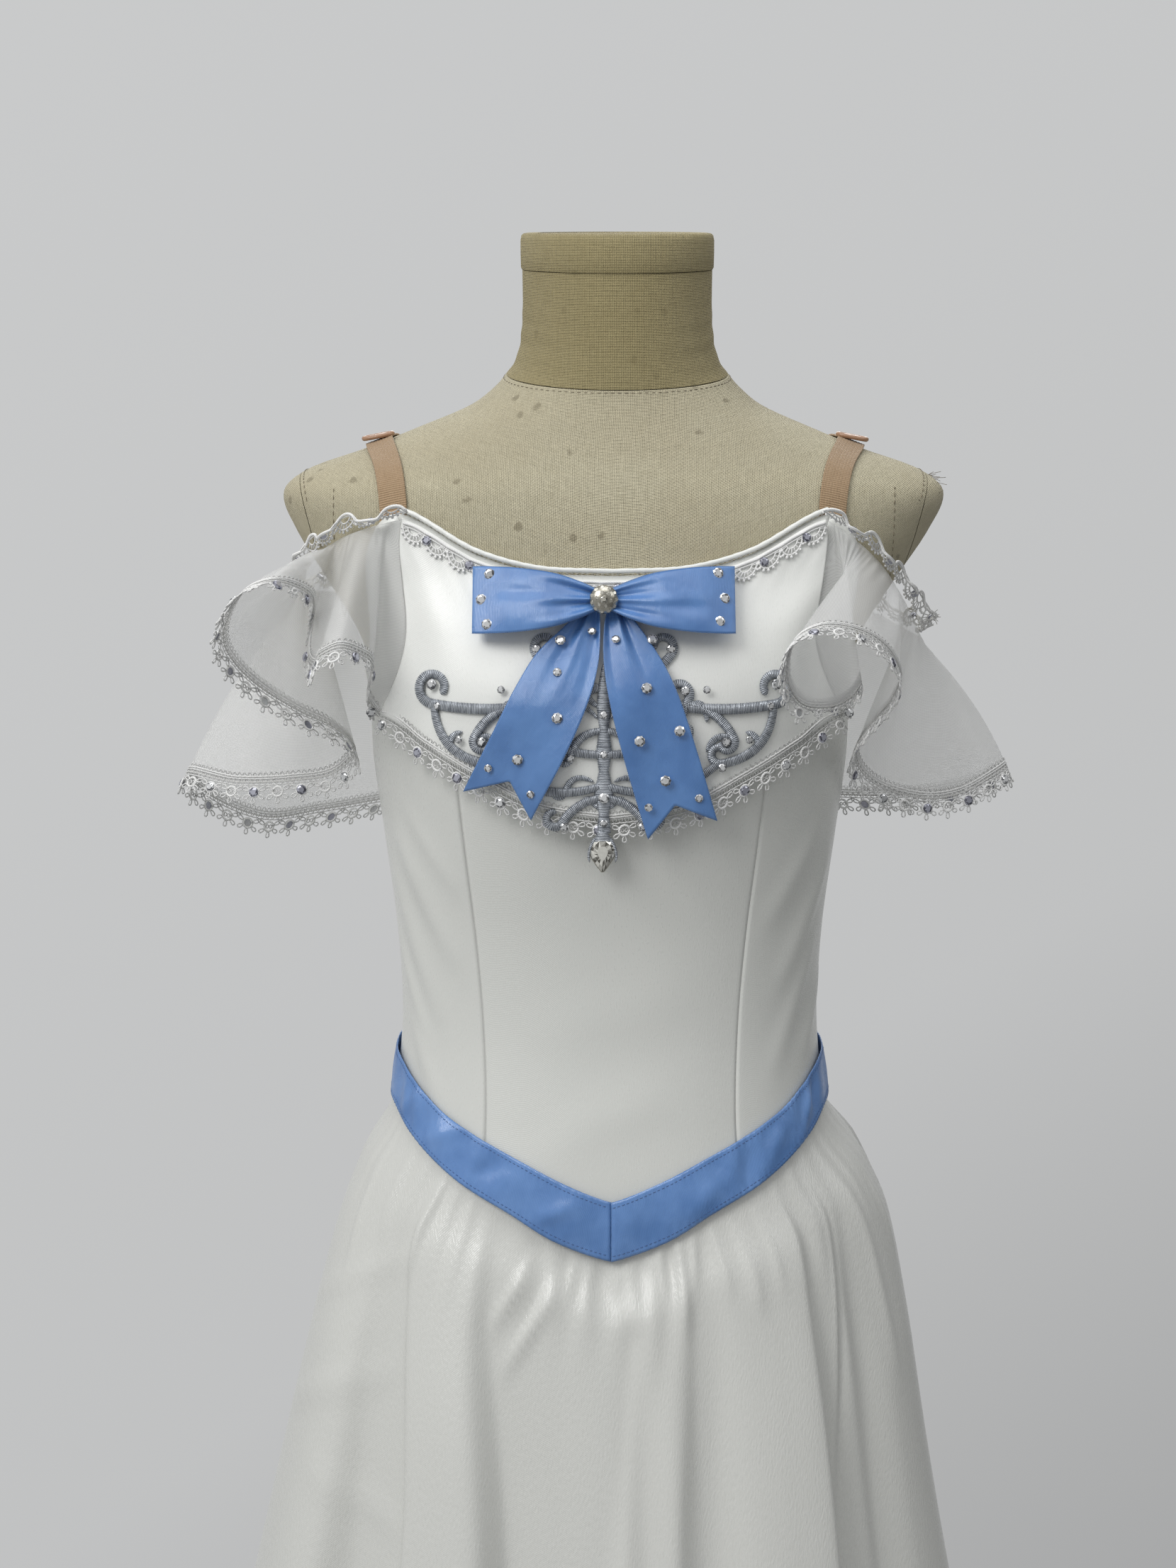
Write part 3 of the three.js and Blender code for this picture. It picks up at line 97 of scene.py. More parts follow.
# The cloth's fold edges are this share as soft as the table says
CRISP = 0.5
# The flounce: height of its hem, and where its sides end at the top and the hem
BERTHA = table("angle hem", [
    (0, 1047), (14, 1053), (28, 1068.5), (42, 1084), (58, 1098), (122, 1050),
    (140, 1046), (160, 1040), (180, 1038)])
BERTHA_SIDE = {"frontTop": 33, "frontHem": 58, "backTop": 144, "backHem": 124}


# Surfaces of the form and the dress
def column(tab, key, name, at):
    """One column of a table read at any value of another, as a smooth curve through its rows."""
    keys, vals = tab[key], tab[name]
    if keys[0] > keys[-1]:
        keys, vals = keys[::-1], vals[::-1]
    slope = np.empty_like(vals)
    slope[1:-1] = (vals[2:] - vals[:-2]) / (keys[2:] - keys[:-2])
    slope[0] = (vals[1] - vals[0]) / (keys[1] - keys[0])
    slope[-1] = (vals[-1] - vals[-2]) / (keys[-1] - keys[-2])
    at = np.clip(np.asarray(at, float), keys[0], keys[-1])
    i = np.clip(np.searchsorted(keys, at, side="right") - 1, 0, len(keys) - 2)
    h = keys[i + 1] - keys[i]
    t = (at - keys[i]) / h
    t2, t3 = t * t, t * t * t
    return ((2 * t3 - 3 * t2 + 1) * vals[i] + (t3 - 2 * t2 + t) * h * slope[i]
            + (3 * t2 - 2 * t3) * vals[i + 1] + (t3 - t2) * h * slope[i + 1])


def smooth(x, a, b):
    """A soft step from 0 at a to 1 at b."""
    t = np.clip((x - a) / (b - a), 0, 1)
    return t * t * (3 - 2 * t)


def lerp(a, b, t):
    return a + (b - a) * t


def unit(v):
    return v / np.maximum(np.linalg.norm(v, axis=-1, keepdims=True), 1e-12)


def stack(x, y, z):
    return np.stack(np.broadcast_arrays(x, y, z), -1).astype(float)


def form_ring(z):
    return {n: column(FORM, "z", n, z) for n in ("half", "front", "back", "square", "slope", "shift")}


def ring_point(ring, z, angle, more=0.0):
    """A point of a rounded section at an angle, 0 at the front, and so much outside it."""
    a = np.radians(angle)
    s, c = np.sin(a), np.cos(a)
    power = 2 / ring["square"]
    depth = np.where(c > 0, ring["front"], ring["back"])
    x = (ring["half"] + more) * np.sign(s) * np.abs(s) ** power
    y = -(depth + more) * np.sign(c) * np.abs(c) ** power
    return stack(x + ring["shift"], y, z + ring["slope"] * y)


def form_field(p):
    """Below zero inside the form, zero on it, above zero outside."""
    level = p[..., 2].copy()
    for _ in range(4):
        level = p[..., 2] - column(FORM, "z", "slope", level) * p[..., 1]
    ring = form_ring(level)
    depth = np.where(p[..., 1] < 0, ring["front"], ring["back"])
    return (np.abs(p[..., 0] - ring["shift"]) / ring["half"]) ** ring["square"] \
        + (np.abs(p[..., 1]) / depth) ** ring["square"] - 1


def form_normal(p):
    n = np.empty_like(p)
    for k in range(3):
        step = np.zeros(3)
        step[k] = 1.5
        n[..., k] = form_field(p + step) - form_field(p - step)
    return unit(n)


def on_form(angle, height, out=0.0):
    """The point at an angle and a height of the form, so much off its surface."""
    angle, height, out = np.broadcast_arrays(*(np.asarray(v, float) for v in (angle, height, out)))
    level = height.copy()
    p = ring_point(form_ring(level), level, angle)
    for _ in range(5):
        level = level + height - p[..., 2]
        p = ring_point(form_ring(level), level, angle)
    n = form_normal(p)
    n[..., 2] *= 0.5
    return p + unit(n) * out[..., None]


def edge(name, angle):
    """Height of an edge of the dress at an angle, the same on both sides."""
    a = np.abs(np.asarray(angle, float)) % 360
    return column(EDGES, "angle", name, np.where(a > 180, 360 - a, a))


def turned(angle):
    """Angles past 180 counted from the other side."""
    return np.where(angle > 180, angle - 360, angle)


def waist_seam(angle):
    return (edge("beltTop", angle) + edge("beltFoot", angle)) / 2


# The front's depth over places x, z, at two distances off the form
FRONT_X = np.arange(-135, 136, 3.0)
FRONT_Z = np.arange(1010, 1216, 3.0)
FRONT_OUT = (4.0, 30.0)


def front_table():
    """The form's depth over the places, found by halving the angle's range."""
    x, z = np.meshgrid(FRONT_X, FRONT_Z)
    side = np.where(x < 0, -1.0, 1.0)
    layers = []
    for out in FRONT_OUT:
        low, high = np.zeros_like(x), np.full_like(x, 89.0)
        for _ in range(16):
            mid = (low + high) / 2
            less = np.abs(on_form(side * mid, z, out)[..., 0]) < np.abs(x)
            low, high = np.where(less, mid, low), np.where(less, high, mid)
        layers.append(on_form(side * (low + high) / 2, z, out)[..., 1])
    return np.stack(layers)


FRONT_Y = front_table()


def on_front(x, z, out):
    """The point over x and z on the front, so much off the form."""
    x, z, out = np.broadcast_arrays(*(np.asarray(v, float) for v in (x, z, out)))
    i = np.clip((x - FRONT_X[0]) / 3, 0, len(FRONT_X) - 1.001)
    j = np.clip((z - FRONT_Z[0]) / 3, 0, len(FRONT_Z) - 1.001)
    a, b = i.astype(int), j.astype(int)
    u, v = i - a, j - b
    t = (out - FRONT_OUT[0]) / (FRONT_OUT[1] - FRONT_OUT[0])

    def at(layer):
        f = FRONT_Y[layer]
        return lerp(lerp(f[b, a], f[b, a + 1], u), lerp(f[b + 1, a], f[b + 1, a + 1], u), v)
    return stack(x, lerp(at(0), at(1), t), z)


def seam_line(angle, drop):
    """Angle of a bodice seam on its way down: the princess seams curve, the others are straight."""
    if abs(angle) != SEAM_ANGLE:
        return angle + 0 * drop
    return math.copysign(1, angle) * column(PRINCESS, "drop", "angle", drop)


def fold_out(angle, fall):
    """How far the skirt's folds stand out at an angle, so far below the belt."""
    out = 0.0 * angle
    for i in range(len(FOLDS["depth"])):
        left, right, soft_l, soft_r, depth, base, start, span, end = (FOLDS[n][i] for n in (
            "left", "right", "softLeft", "softRight", "depth", "base", "start", "span", "end"))
        drift = smooth(fall, 0, 190)
        mid = (left + right) / 2 + FOLDS["drift"][i] * drift
        half = (right - left) / 2
        away = (angle - mid + 180) % 360 - 180
        rise, drop = np.tanh((away + half) / soft_l / CRISP), np.tanh((half - away) / soft_r / CRISP)
        shape = 0.25 * (1 + rise) * (1 + drop)
        growth = (base + (1 - base) * smooth(fall, start, start + span)) * smooth(fall, 0, 50)
        out = out + depth * growth * shape * (1 - smooth(fall, end, end + 150))
    return out


def skirt_point(angle, z, fine=0.0):
    """A point of the skirt: close to the form at the belt, then on its own rings with folds and gathers."""
    fall = np.maximum(edge("beltFoot", angle) - z, 0)
    close = on_form(angle, np.maximum(z, 705), BODICE_OUT)
    ring = {"square": 2.15, "slope": 0.0}
    for n in ("half", "front", "back", "shift"):
        ring[n] = column(SKIRT, "z", n, z)
    free = ring_point(ring, z, angle, -9 * smooth(fall, 20, 300))
    p = lerp(close, free, smooth(fall, 0, 34)[..., None])
    p[..., 2] = z
    outward = unit(stack(p[..., 0] / 1.2, p[..., 1], 0))
    near = np.exp(-(angle / 17) ** 2)
    uneven = 0.6 + 0.4 * np.sin(np.radians(angle * 13.7)) * np.sin(np.radians(angle * 5.3 + 30))
    phase = np.radians(angle * 58 + 70 * np.sin(np.radians(angle * 11)) + fall * 1.1)
    gather = (0.5 + 0.7 * near) * uneven * np.sin(phase)
    gather = gather * smooth(fall, 1, 9) * (1 - smooth(fall, 14 + 16 * uneven, 34 + 50 * uneven))
    return p + outward * (fold_out(angle, fall) + gather + fine)[..., None]


def bertha_out(angle, drop):
    away = smooth(np.abs(angle), 40, 58)
    front = 2.2 * away * np.cos(np.radians(angle * 13))
    back = 3.2 * np.cos(np.radians(angle * 15))
    near = 0.4 * (1 - smooth(drop, 0, 0.2))
    wave = np.where(np.abs(angle) < 90, front, back) * smooth(drop, 0.15, 1)
    return BERTHA_OUT - near + 4.5 * smooth(drop, 0, 1) + wave


def bertha_point(angle, drop, more=0.0):
    """A point of the flounce, drop 0 at the neckline and 1 at its hem."""
    top = edge("neck", angle) - 3
    z = lerp(top, column(BERTHA, "angle", "hem", np.abs(angle)), drop)
    return on_form(angle, z, bertha_out(angle, drop) + more)


def bertha_angle(share, drop, back):
    if back:
        side = lerp(BERTHA_SIDE["backTop"], BERTHA_SIDE["backHem"], drop)
        return lerp(side, 360 - side, share)
    side = lerp(BERTHA_SIDE["frontTop"], BERTHA_SIDE["frontHem"], drop)
    return lerp(-side, side, share)


def bust_point(x, z, off):
    """A point so much off the flounce, over x and z."""
    top = edge("neck", np.abs(x) * 0.3) - 3
    hem = column(BERTHA, "angle", "hem", np.abs(x) * 0.42)
    drop = np.clip((top - z) / (top - hem), 0, 1)
    return on_front(x, z, BERTHA_OUT + 4.5 * smooth(drop, 0, 1) + CLOTH + off)


# The sleeves' elastic over each arm: share of its length, and place
ELASTIC = {
    -1: [(0.15, 127, -63, 1196), (0.3, 144, -53, 1190), (0.42, 158, -37, 1181), (0.52, 167, -14, 1172),
         (0.62, 170, 10, 1167), (0.75, 162, 36, 1165), (0.88, 140, 62, 1166)],
    1: [(0.12, 126, -65.5, 1191), (0.26, 143, -53, 1177), (0.38, 156, -34, 1162), (0.5, 167, -14, 1147),
        (0.6, 172, 6, 1140), (0.73, 166, 32, 1145), (0.87, 142, 60, 1158)]}
# Folds of each sleeve: place on the elastic, hem point (out, y, z), puff
SLEEVE = {
    -1: [(0.05, 127, -68, 1107, 0), (0.1, 123, -84, 1125, 1), (0.13, 128, -100, 1131, 2),
         (0.17, 137, -110, 1134, 3), (0.21, 147, -106, 1130, 2), (0.24, 152, -86, 1125, 1),
         (0.265, 159, -59, 1130, 0), (0.29, 158, -56, 1147, 1), (0.325, 155, -86, 1161, 4),
         (0.36, 170, -112, 1167, 7), (0.4, 183, -110, 1163, 6), (0.43, 194, -99, 1151, 4),
         (0.455, 199, -86, 1137, 2), (0.475, 195, -73, 1125, 1), (0.49, 183, -61, 1112, 0),
         (0.5, 165, -51, 1100, 0), (0.51, 148, -42, 1091, 0), (0.52, 138, -32, 1079, 0),
         (0.53, 151, -21, 1065, 1), (0.555, 175, -21, 1061, 3), (0.59, 205, -17, 1060, 4),
         (0.64, 235, 1, 1064, 4), (0.71, 224, 24, 1048, 6), (0.79, 197, 38, 1036, 5),
         (0.88, 167, 54, 1039, 4)],
    1: [(0.035, 127, -72, 1107, 0), (0.06, 129, -84, 1116, 0), (0.08, 121, -97, 1108, 0),
        (0.1, 108, -111, 1104, 0), (0.13, 93, -124, 1107, 0), (0.16, 86, -132, 1120, 1),
        (0.19, 89, -138, 1137, 3), (0.22, 101, -138, 1144, 5), (0.27, 118, -132, 1143, 6),
        (0.32, 135, -120, 1135, 5), (0.36, 146, -103, 1120, 3), (0.4, 144, -86, 1107, 1),
        (0.43, 137, -68, 1095, 0), (0.455, 131, -50, 1082, 0), (0.475, 134, -33, 1069, 0),
        (0.5, 147, -22, 1058, 1), (0.535, 172, -16, 1051, 3), (0.575, 194, -7, 1053, 5),
        (0.62, 213, 1, 1062, 6), (0.67, 223, 12, 1067, 6), (0.74, 212, 28, 1058, 6), (0.82, 186, 42, 1050, 5),
        (0.91, 158, 57, 1047, 4)]}


def centripetal(points, u):
    """Curves through points (rows, sections, 3) at shares u of their sections."""
    first = 2 * points[:, :1] - points[:, 1:2]
    last = 2 * points[:, -1:] - points[:, -2:-1]
    p = np.concatenate([first, points, last], 1)
    at = np.clip(np.asarray(u) * (points.shape[1] - 1), 0, points.shape[1] - 1 - 1e-9)
    i = at.astype(int)
    w = (at - i)[None, :, None]
    p0, p1, p2, p3 = (p[:, i + k] for k in range(4))
    d0, d1, d2 = (np.sqrt(np.linalg.norm(b - a, axis=-1, keepdims=True))
                  for a, b in ((p0, p1), (p1, p2), (p2, p3)))
    t1 = ((p1 - p0) / d0 - (p2 - p0) / (d0 + d1) + (p2 - p1) / d1) * d1
    t2 = ((p2 - p1) / d1 - (p3 - p1) / (d1 + d2) + (p3 - p2) / d2) * d1
    return p1 + t1 * w + (-3 * p1 + 3 * p2 - 2 * t1 - t2) * w ** 2 + (2 * p1 - 2 * p2 + t1 + t2) * w ** 3


def sleeve_edge(side, back, v):
    """The line where a sleeve lies beside the flounce, 0.6 mm off it."""
    top, hem = ("backTop", "backHem") if back else ("frontTop", "frontHem")
    angle = lerp(BERTHA_SIDE[top], BERTHA_SIDE[hem], v)
    here = bertha_point(side * angle, v)
    beside = bertha_point(side * (angle + (2 if back else -2)), v)
    return here + unit(here - beside) * 0.6


def sleeve_grid(side, u, v):
    """Sleeve points (rows v, columns u), from the bertha's front side to its back side."""
    v = np.asarray(v, float)
    start, end = (sleeve_edge(side, back, np.zeros(1))[0] for back in (False, True))
    middle = [(share, side * out, y, z) for share, out, y, z in ELASTIC[side]]
    band = table("share x y z", [(0, *start), *middle, (1, *end)])
    sections = [sleeve_edge(side, False, v)]
    for share, out, y, z, puff in SLEEVE[side]:
        top = np.array([column(band, "share", axis, share) for axis in "xyz"])
        p = lerp(top[None], np.array([[side * out, y, z]], float), v[:, None])
        outward = unit(stack(p[:, 0] - side * ARM_MIDDLE, p[:, 1], 18))
        sections.append(p + outward * (puff * 4 * v * (1 - v))[:, None])
    sections.append(sleeve_edge(side, True, v))
    return centripetal(np.stack(sections, 1), u)


# Mesh making
class Piece:
    """Points, faces and cloth coordinates in mm, gathered into one mesh."""

    def __init__(self):
        self.points, self.uvs, self.faces, self.tones, self.count = [], [], [], [], 0

    def add(self, points, faces, uv=None, tones=None):
        points = np.asarray(points, float).reshape(-1, 3)
        uv = np.zeros((len(points), 2)) if uv is None else np.asarray(uv, float).reshape(-1, 2)
        for k, group in enumerate(faces):
            group = np.asarray(group, int)
            self.faces.append(group + self.count)
            self.tones.append(np.ones(len(group)) if tones is None else np.asarray(tones[k], float))
        self.points.append(points)
        self.uvs.append(uv)
        self.count += len(points)

    def make(self, name, material, nodes=(), flat=False):
        points, uv = np.concatenate(self.points), np.concatenate(self.uvs)
        mesh = bpy.data.meshes.new(name)
        mesh.vertices.add(len(points))
        mesh.vertices.foreach_set("co", (points * 0.001).ravel())
        corners = np.concatenate([f.ravel() for f in self.faces])
        sizes = np.concatenate([np.full(len(f), f.shape[1]) for f in self.faces])
        mesh.loops.add(len(corners))
        mesh.loops.foreach_set("vertex_index", corners)
        mesh.polygons.add(len(sizes))
        mesh.polygons.foreach_set("loop_start", np.concatenate([[0], np.cumsum(sizes)[:-1]]))
        mesh.polygons.foreach_set("loop_total", sizes)
        mesh.polygons.foreach_set("use_smooth", np.full(len(sizes), not flat))
        mesh.update(calc_edges=True)
        layer = mesh.uv_layers.new(name="cloth")
        layer.data.foreach_set("uv", uv[corners].ravel())
        # Each face's painted glint value, which the crystal materials read as dark or bright facet
        # reflections; 1 on every other piece
        tone = mesh.attributes.new("tone", "FLOAT", "FACE")
        tone.data.foreach_set("value", np.concatenate(self.tones))
        mesh.validate()
        piece = bpy.data.objects.new(name, mesh)
        bpy.context.scene.collection.objects.link(piece)
        mesh.materials.append(material)
        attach(piece, "root")
        if nodes:
            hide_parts(*nodes)
        return piece


def normals_of(grid):
    return unit(np.cross(np.gradient(grid, axis=1), np.gradient(grid, axis=0)))


def run_of(line):
    """Length along a line up to each of its points."""
    return np.concatenate([[0], np.cumsum(np.linalg.norm(np.diff(line, axis=0), axis=-1))])


def read_at(field, run, at):
    """A line's points, or values kept at them, at lengths along it."""
    return np.stack([np.interp(at, run, field[:, k]) for k in range(field.shape[1])], -1)


def lengths_of(grid):
    u = np.zeros(grid.shape[:2])
    v = np.zeros(grid.shape[:2])
    u[:, 1:] = np.cumsum(np.linalg.norm(np.diff(grid, axis=1), axis=-1), 1)
    v[1:] = np.cumsum(np.linalg.norm(np.diff(grid, axis=0), axis=-1), 0)
    return np.stack([u - u[:, -1:] / 2, v], -1)


def quads(rows, columns, closed=False):
    """Four-cornered faces of a grid of points, closed round if asked."""
    i = np.arange(rows - 1)[:, None]
    j = np.arange(columns if closed else columns - 1)[None]
    k = (j + 1) % columns
    low, high = i * columns, (i + 1) * columns
    return np.stack(np.broadcast_arrays(low + j, high + j, high + k, low + k), -1).reshape(-1, 4)


def ring_ends(rows, count):
    """The faces that close both ends of a stack of rings."""
    first = np.arange(count)[None]
    return [first, first[:, ::-1] + (rows - 1) * count]


def shell(piece, grid, thick, flip=False):
    """A thin cloth: its outer face is the grid, its inner face lies thick behind."""
    rows, columns = grid.shape[:2]
    n = normals_of(grid) * (1 if flip else -1)
    uv = lengths_of(grid)
    both = np.concatenate([grid.reshape(-1, 3), (grid - n * thick).reshape(-1, 3)])
    outer = quads(rows, columns)
    if flip:
        outer = outer[:, ::-1]
    m = rows * columns
    inner = outer[:, ::-1] + m
    top, bottom = np.arange(columns), (rows - 1) * columns + np.arange(columns)
    left, right = np.arange(rows) * columns, np.arange(rows) * columns + columns - 1
    rims = []
    for line, way in ((top, 1), (bottom, -1), (left, -1), (right, 1)):
        a, b = (line[:-1], line[1:]) if way > 0 else (line[1:], line[:-1])
        rim = np.stack([a, b, b + m, a + m], -1)
        rims.append(rim[:, ::-1] if flip else rim)
    piece.add(both, [np.concatenate([outer, inner, *rims])], np.concatenate([uv.reshape(-1, 2)] * 2))


def tubes(piece, lines, normals, radius, sides=5, closed=False, tone=None):
    """Threads along many lines of equal point counts (lines, points, 3), with the cloth's normals."""
    lines = np.asarray(lines, float)
    if lines.ndim == 2:
        lines = lines[None]
    if closed:
        tangent = unit(np.roll(lines, -1, 1) - np.roll(lines, 1, 1))
    else:
        tangent = unit(np.gradient(lines, axis=1))
    normals = np.broadcast_to(np.asarray(normals, float), lines.shape)
    side = unit(np.cross(tangent, normals))
    up = np.cross(side, tangent)
    turn = np.arange(sides) / sides * 2 * np.pi
    radius = np.broadcast_to(np.asarray(radius, float), lines.shape[:2])[..., None, None]
    spokes = np.cos(turn)[:, None] * side[:, :, None] + np.sin(turn)[:, None] * up[:, :, None]
    ring = lines[:, :, None] + radius * spokes
    m, n = lines.shape[:2]
    base = np.arange(m)[:, None, None, None] * n * sides
    i = np.arange(n if closed else n - 1)[None, :, None, None]
    j = np.arange(sides)[None, None, :, None]
    here, ahead, j2 = base + i * sides, base + (i + 1) % n * sides, (j + 1) % sides
    corners = np.broadcast_arrays(here + j, ahead + j, ahead + j2, here + j2)
    face = np.concatenate(corners, -1).reshape(-1, 4)
    along = np.zeros((m, n))
    along[:, 1:] = np.cumsum(np.linalg.norm(np.diff(lines, axis=1), axis=-1), 1)
    uv = np.stack(np.broadcast_arrays(along[..., None], turn[None, None]), -1)
    faces = [face]
    if not closed:
        first = np.arange(m)[:, None] * n * sides + np.arange(sides)[None]
        faces.append(np.concatenate([first, first[:, ::-1] + (n - 1) * sides]))
    piece.add(ring, faces, uv)


def tube(piece, line, radius, sides=8, closed=False):
    """One round thread or cord with its own frame carried along."""
    line = np.asarray(line, float)
    tangent = unit(np.roll(line, -1, 0) - np.roll(line, 1, 0)) if closed else unit(np.gradient(line, axis=0))
    up = np.cross(tangent[0], [0.3, 0.5, 0.81])
    ups = []
    for t in tangent:
        up = unit(up - t * np.dot(up, t))
        ups.append(up)
    tubes(piece, line[None], np.array(ups)[None], radius, sides, closed)


def stitches(piece, line, normals, pitch=2.6, radius=0.16, share=0.62, lift=0.05):
    """A row of short sewing stitches that lie on a cloth."""
    run = run_of(line)
    starts = np.arange(pitch * 0.3, run[-1] - pitch, pitch)
    at = starts[:, None] + np.linspace(0, pitch * share, 4)[None]
    n = unit(read_at(normals, run, at))
    p = read_at(line, run, at) + n * (lift + np.array([-0.12, 0.1, 0.1, -0.12]))[None, :, None]
    tubes(piece, p, n, radius, 4)


# Materials
class Look:
    """A procedural material on the Principled shader, with its coordinates in mm."""

    def __init__(self, name, **sockets):
        self.material = bpy.data.materials.new(name)
        self.material.use_nodes = True
        self.tree = self.material.node_tree
        self.shader = self.tree.nodes["Principled BSDF"]
        for key, value in sockets.items():
            self.shader.inputs[key.replace("_", " ")].default_value = value
        self.uv = self.node("ShaderNodeUVMap", uv_map="cloth").outputs["UV"]
        where = self.node("ShaderNodeTexCoord").outputs["Object"]
        self.place = self.vector("MULTIPLY", where, (1000, 1000, 1000))

    def node(self, kind, **settings):
        n = self.tree.nodes.new(kind)
        for key, value in settings.items():
            setattr(n, key, value)
        return n

    def put(self, value, socket):
        if isinstance(value, bpy.types.NodeSocket):
            self.tree.links.new(value, socket)
        else:
            socket.default_value = value

    def vector(self, operation, a, b):
        n = self.node("ShaderNodeVectorMath", operation=operation)
        self.put(a, n.inputs[0])
        self.put(b, n.inputs[1])
        return n.outputs[0]

    def math(self, operation, a, b=0.0, c=0.0):
        n = self.node("ShaderNodeMath", operation=operation)
        for value, socket in zip((a, b, c), n.inputs):
            self.put(value, socket)
        return n.outputs[0]

    def add(self, a, b):
        return self.math("ADD", a, b)

    def times(self, a, b):
        return self.math("MULTIPLY", a, b)

    def noise(self, coords, scale, detail=2.0, stretch=(1, 1, 1)):
        n = self.node("ShaderNodeTexNoise")
        self.put(self.vector("MULTIPLY", coords, tuple(scale * s for s in stretch)), n.inputs["Vector"])
        n.inputs["Scale"].default_value = 1.0
        n.inputs["Detail"].default_value = detail
        return n.outputs["Fac"]

    def wave(self, coords, pitch, axis="X", wobble=0.0):
        n = self.node("ShaderNodeTexWave", bands_direction=axis)
        self.put(coords, n.inputs["Vector"])
        n.inputs["Scale"].default_value = 0.314 / pitch
        n.inputs["Distortion"].default_value = wobble
        n.inputs["Detail Scale"].default_value = 0.5
        return n.outputs["Fac"]

    def range(self, value, low, high, to_low, to_high):
        n = self.node("ShaderNodeMapRange")
        for v, socket in zip((value, low, high, to_low, to_high), n.inputs):
            self.put(v, socket)
        return n.outputs[0]

    def mix(self, factor, a, b):
        n = self.node("ShaderNodeMix", data_type="RGBA")
        self.put(factor, n.inputs[0])
        for value, socket in ((a, n.inputs[6]), (b, n.inputs[7])):
            self.put((*value, 1.0) if isinstance(value, tuple) and len(value) == 3 else value, socket)
        return n.outputs[2]

    def color(self, value):
        self.put(value, self.shader.inputs["Base Color"])

    def rough(self, value):
        self.put(value, self.shader.inputs["Roughness"])

    def bump(self, height, depth_mm, strength=1.0):
        n = self.node("ShaderNodeBump")
        n.inputs["Strength"].default_value = strength
        n.inputs["Distance"].default_value = depth_mm * 0.001
        self.put(height, n.inputs["Height"])
        self.put(n.outputs[0], self.shader.inputs["Normal"])


def weave(look, pitch, wobble=0.4):
    """Threads of a plain weave, both ways."""
    warp, weft = (look.wave(look.uv, pitch, axis, wobble) for axis in "XY")
    return look.math("MAXIMUM", warp, weft)


def satin_look(name, bright, shade, grain, gloss=0.95):
    look = Look(name, Sheen_Weight=0.1, Sheen_Roughness=0.4, Specular_IOR_Level=gloss)
    fine = look.noise(look.uv, 0.9, 3, (1, 0.35, 1))
    look.color(look.mix(fine, shade, bright))
    look.rough(look.range(fine, 0.2, 0.8, 0.33, 0.25))
    twill = look.wave(look.uv, 0.5, "DIAGONAL", 0.6)
    look.bump(look.add(look.times(twill, 0.35), look.times(fine, grain)), 0.09)
    return look.material


SATIN = satin_look("ivory_satin_cloth", (0.77, 0.78, 0.745), (0.72, 0.73, 0.695), 0.9)
# Painted light: the flounce and the neckline binding use a lighter, less glossy copy of the bodice satin, to
# brighten the top of the dress and the flounce under the bow's shade
FLOUNCE_SATIN_LIT = satin_look("ivory_satin_flounce_painted_lighter", (0.91, 0.92, 0.89), (0.86, 0.87, 0.84), 0.9, 0.6)
# Painted shade in part: the skirt's satin is a darker copy, standing in for the dimmer light low on the
# skirt; its heavier grain is the cloth's own
SKIRT_SATIN_SHADED = satin_look("ivory_crepe_satin_painted_darker", (0.755, 0.76, 0.73), (0.655, 0.66, 0.625), 3.0)


def organza_look():
    look = Look("sheer_organza_cloth", Sheen_Weight=0.5, Sheen_Roughness=0.5, Specular_IOR_Level=0.4,
                Subsurface_Weight=0.35, Subsurface_Radius=(1.0, 1.0, 1.0), Subsurface_Scale=0.003)
    cells = weave(look, 0.7)
    mist = look.noise(look.uv, 0.05, 3)
    look.color(look.mix(mist, (0.93, 0.935, 0.93), (0.97, 0.97, 0.96)))
    look.rough(look.range(mist, 0.3, 0.7, 0.5, 0.38))
    look.put(look.range(cells, 0.2, 1.0, 0.24, 0.44), look.shader.inputs["Alpha"])
    look.bump(cells, 0.06)
    return look.material


ORGANZA = organza_look()


def thread_look(name, light, dark, pitch, rough=0.55):
    look = Look(name, Sheen_Weight=0.3, Roughness=rough)
    twist = look.wave(look.uv, pitch, "DIAGONAL", 0.5)
    look.color(look.mix(look.range(twist, 0.1, 0.6, 0, 1), dark, light))
    look.bump(twist, 0.1)
    return look.material


LACE = thread_look("white_lace_thread", (0.96, 0.96, 0.95), (0.88, 0.88, 0.87), 0.7)
WHITE_THREAD = thread_look("white_sewing_thread", (0.86, 0.86, 0.84), (0.7, 0.7, 0.68), 0.5)
BLUE_THREAD = thread_look("blue_sewing_thread", (0.10, 0.24, 0.58), (0.05, 0.14, 0.40), 0.5)
TAN_THREAD = thread_look("tan_sewing_thread", (0.30, 0.24, 0.15), (0.18, 0.14, 0.08), 0.6)


def ribbon_look(name, dark, light, gloss):
    look = Look(name, Specular_IOR_Level=gloss, Sheen_Weight=0.12, Sheen_Roughness=0.3)
    broad = look.noise(look.place, 0.05, 2)
    rib = look.wave(look.uv, 0.55, "X", 0.3)
    look.color(look.mix(look.range(broad, 0.35, 0.65, 0, 1), dark, light))
    look.rough(look.range(broad, 0.3, 0.7, 0.31, 0.24))
    wrinkle = look.noise(look.uv, 0.16, 2, (1, 0.5, 1))
    look.bump(look.add(look.times(rib, 0.4), look.times(wrinkle, 3.0)), 0.12)
    return look.material


BLUE = ribbon_look("blue_satin_ribbon", (0.083, 0.205, 0.49), (0.122, 0.27, 0.59), 0.85)
# Painted light: the belt uses a lighter copy of the bow's blue ribbon, standing in for the belt's stronger
# satin highlights
BELT_BLUE_LIT = ribbon_look("blue_satin_belt_painted_lighter", (0.095, 0.23, 0.54), (0.15, 0.31, 0.66), 1.0)


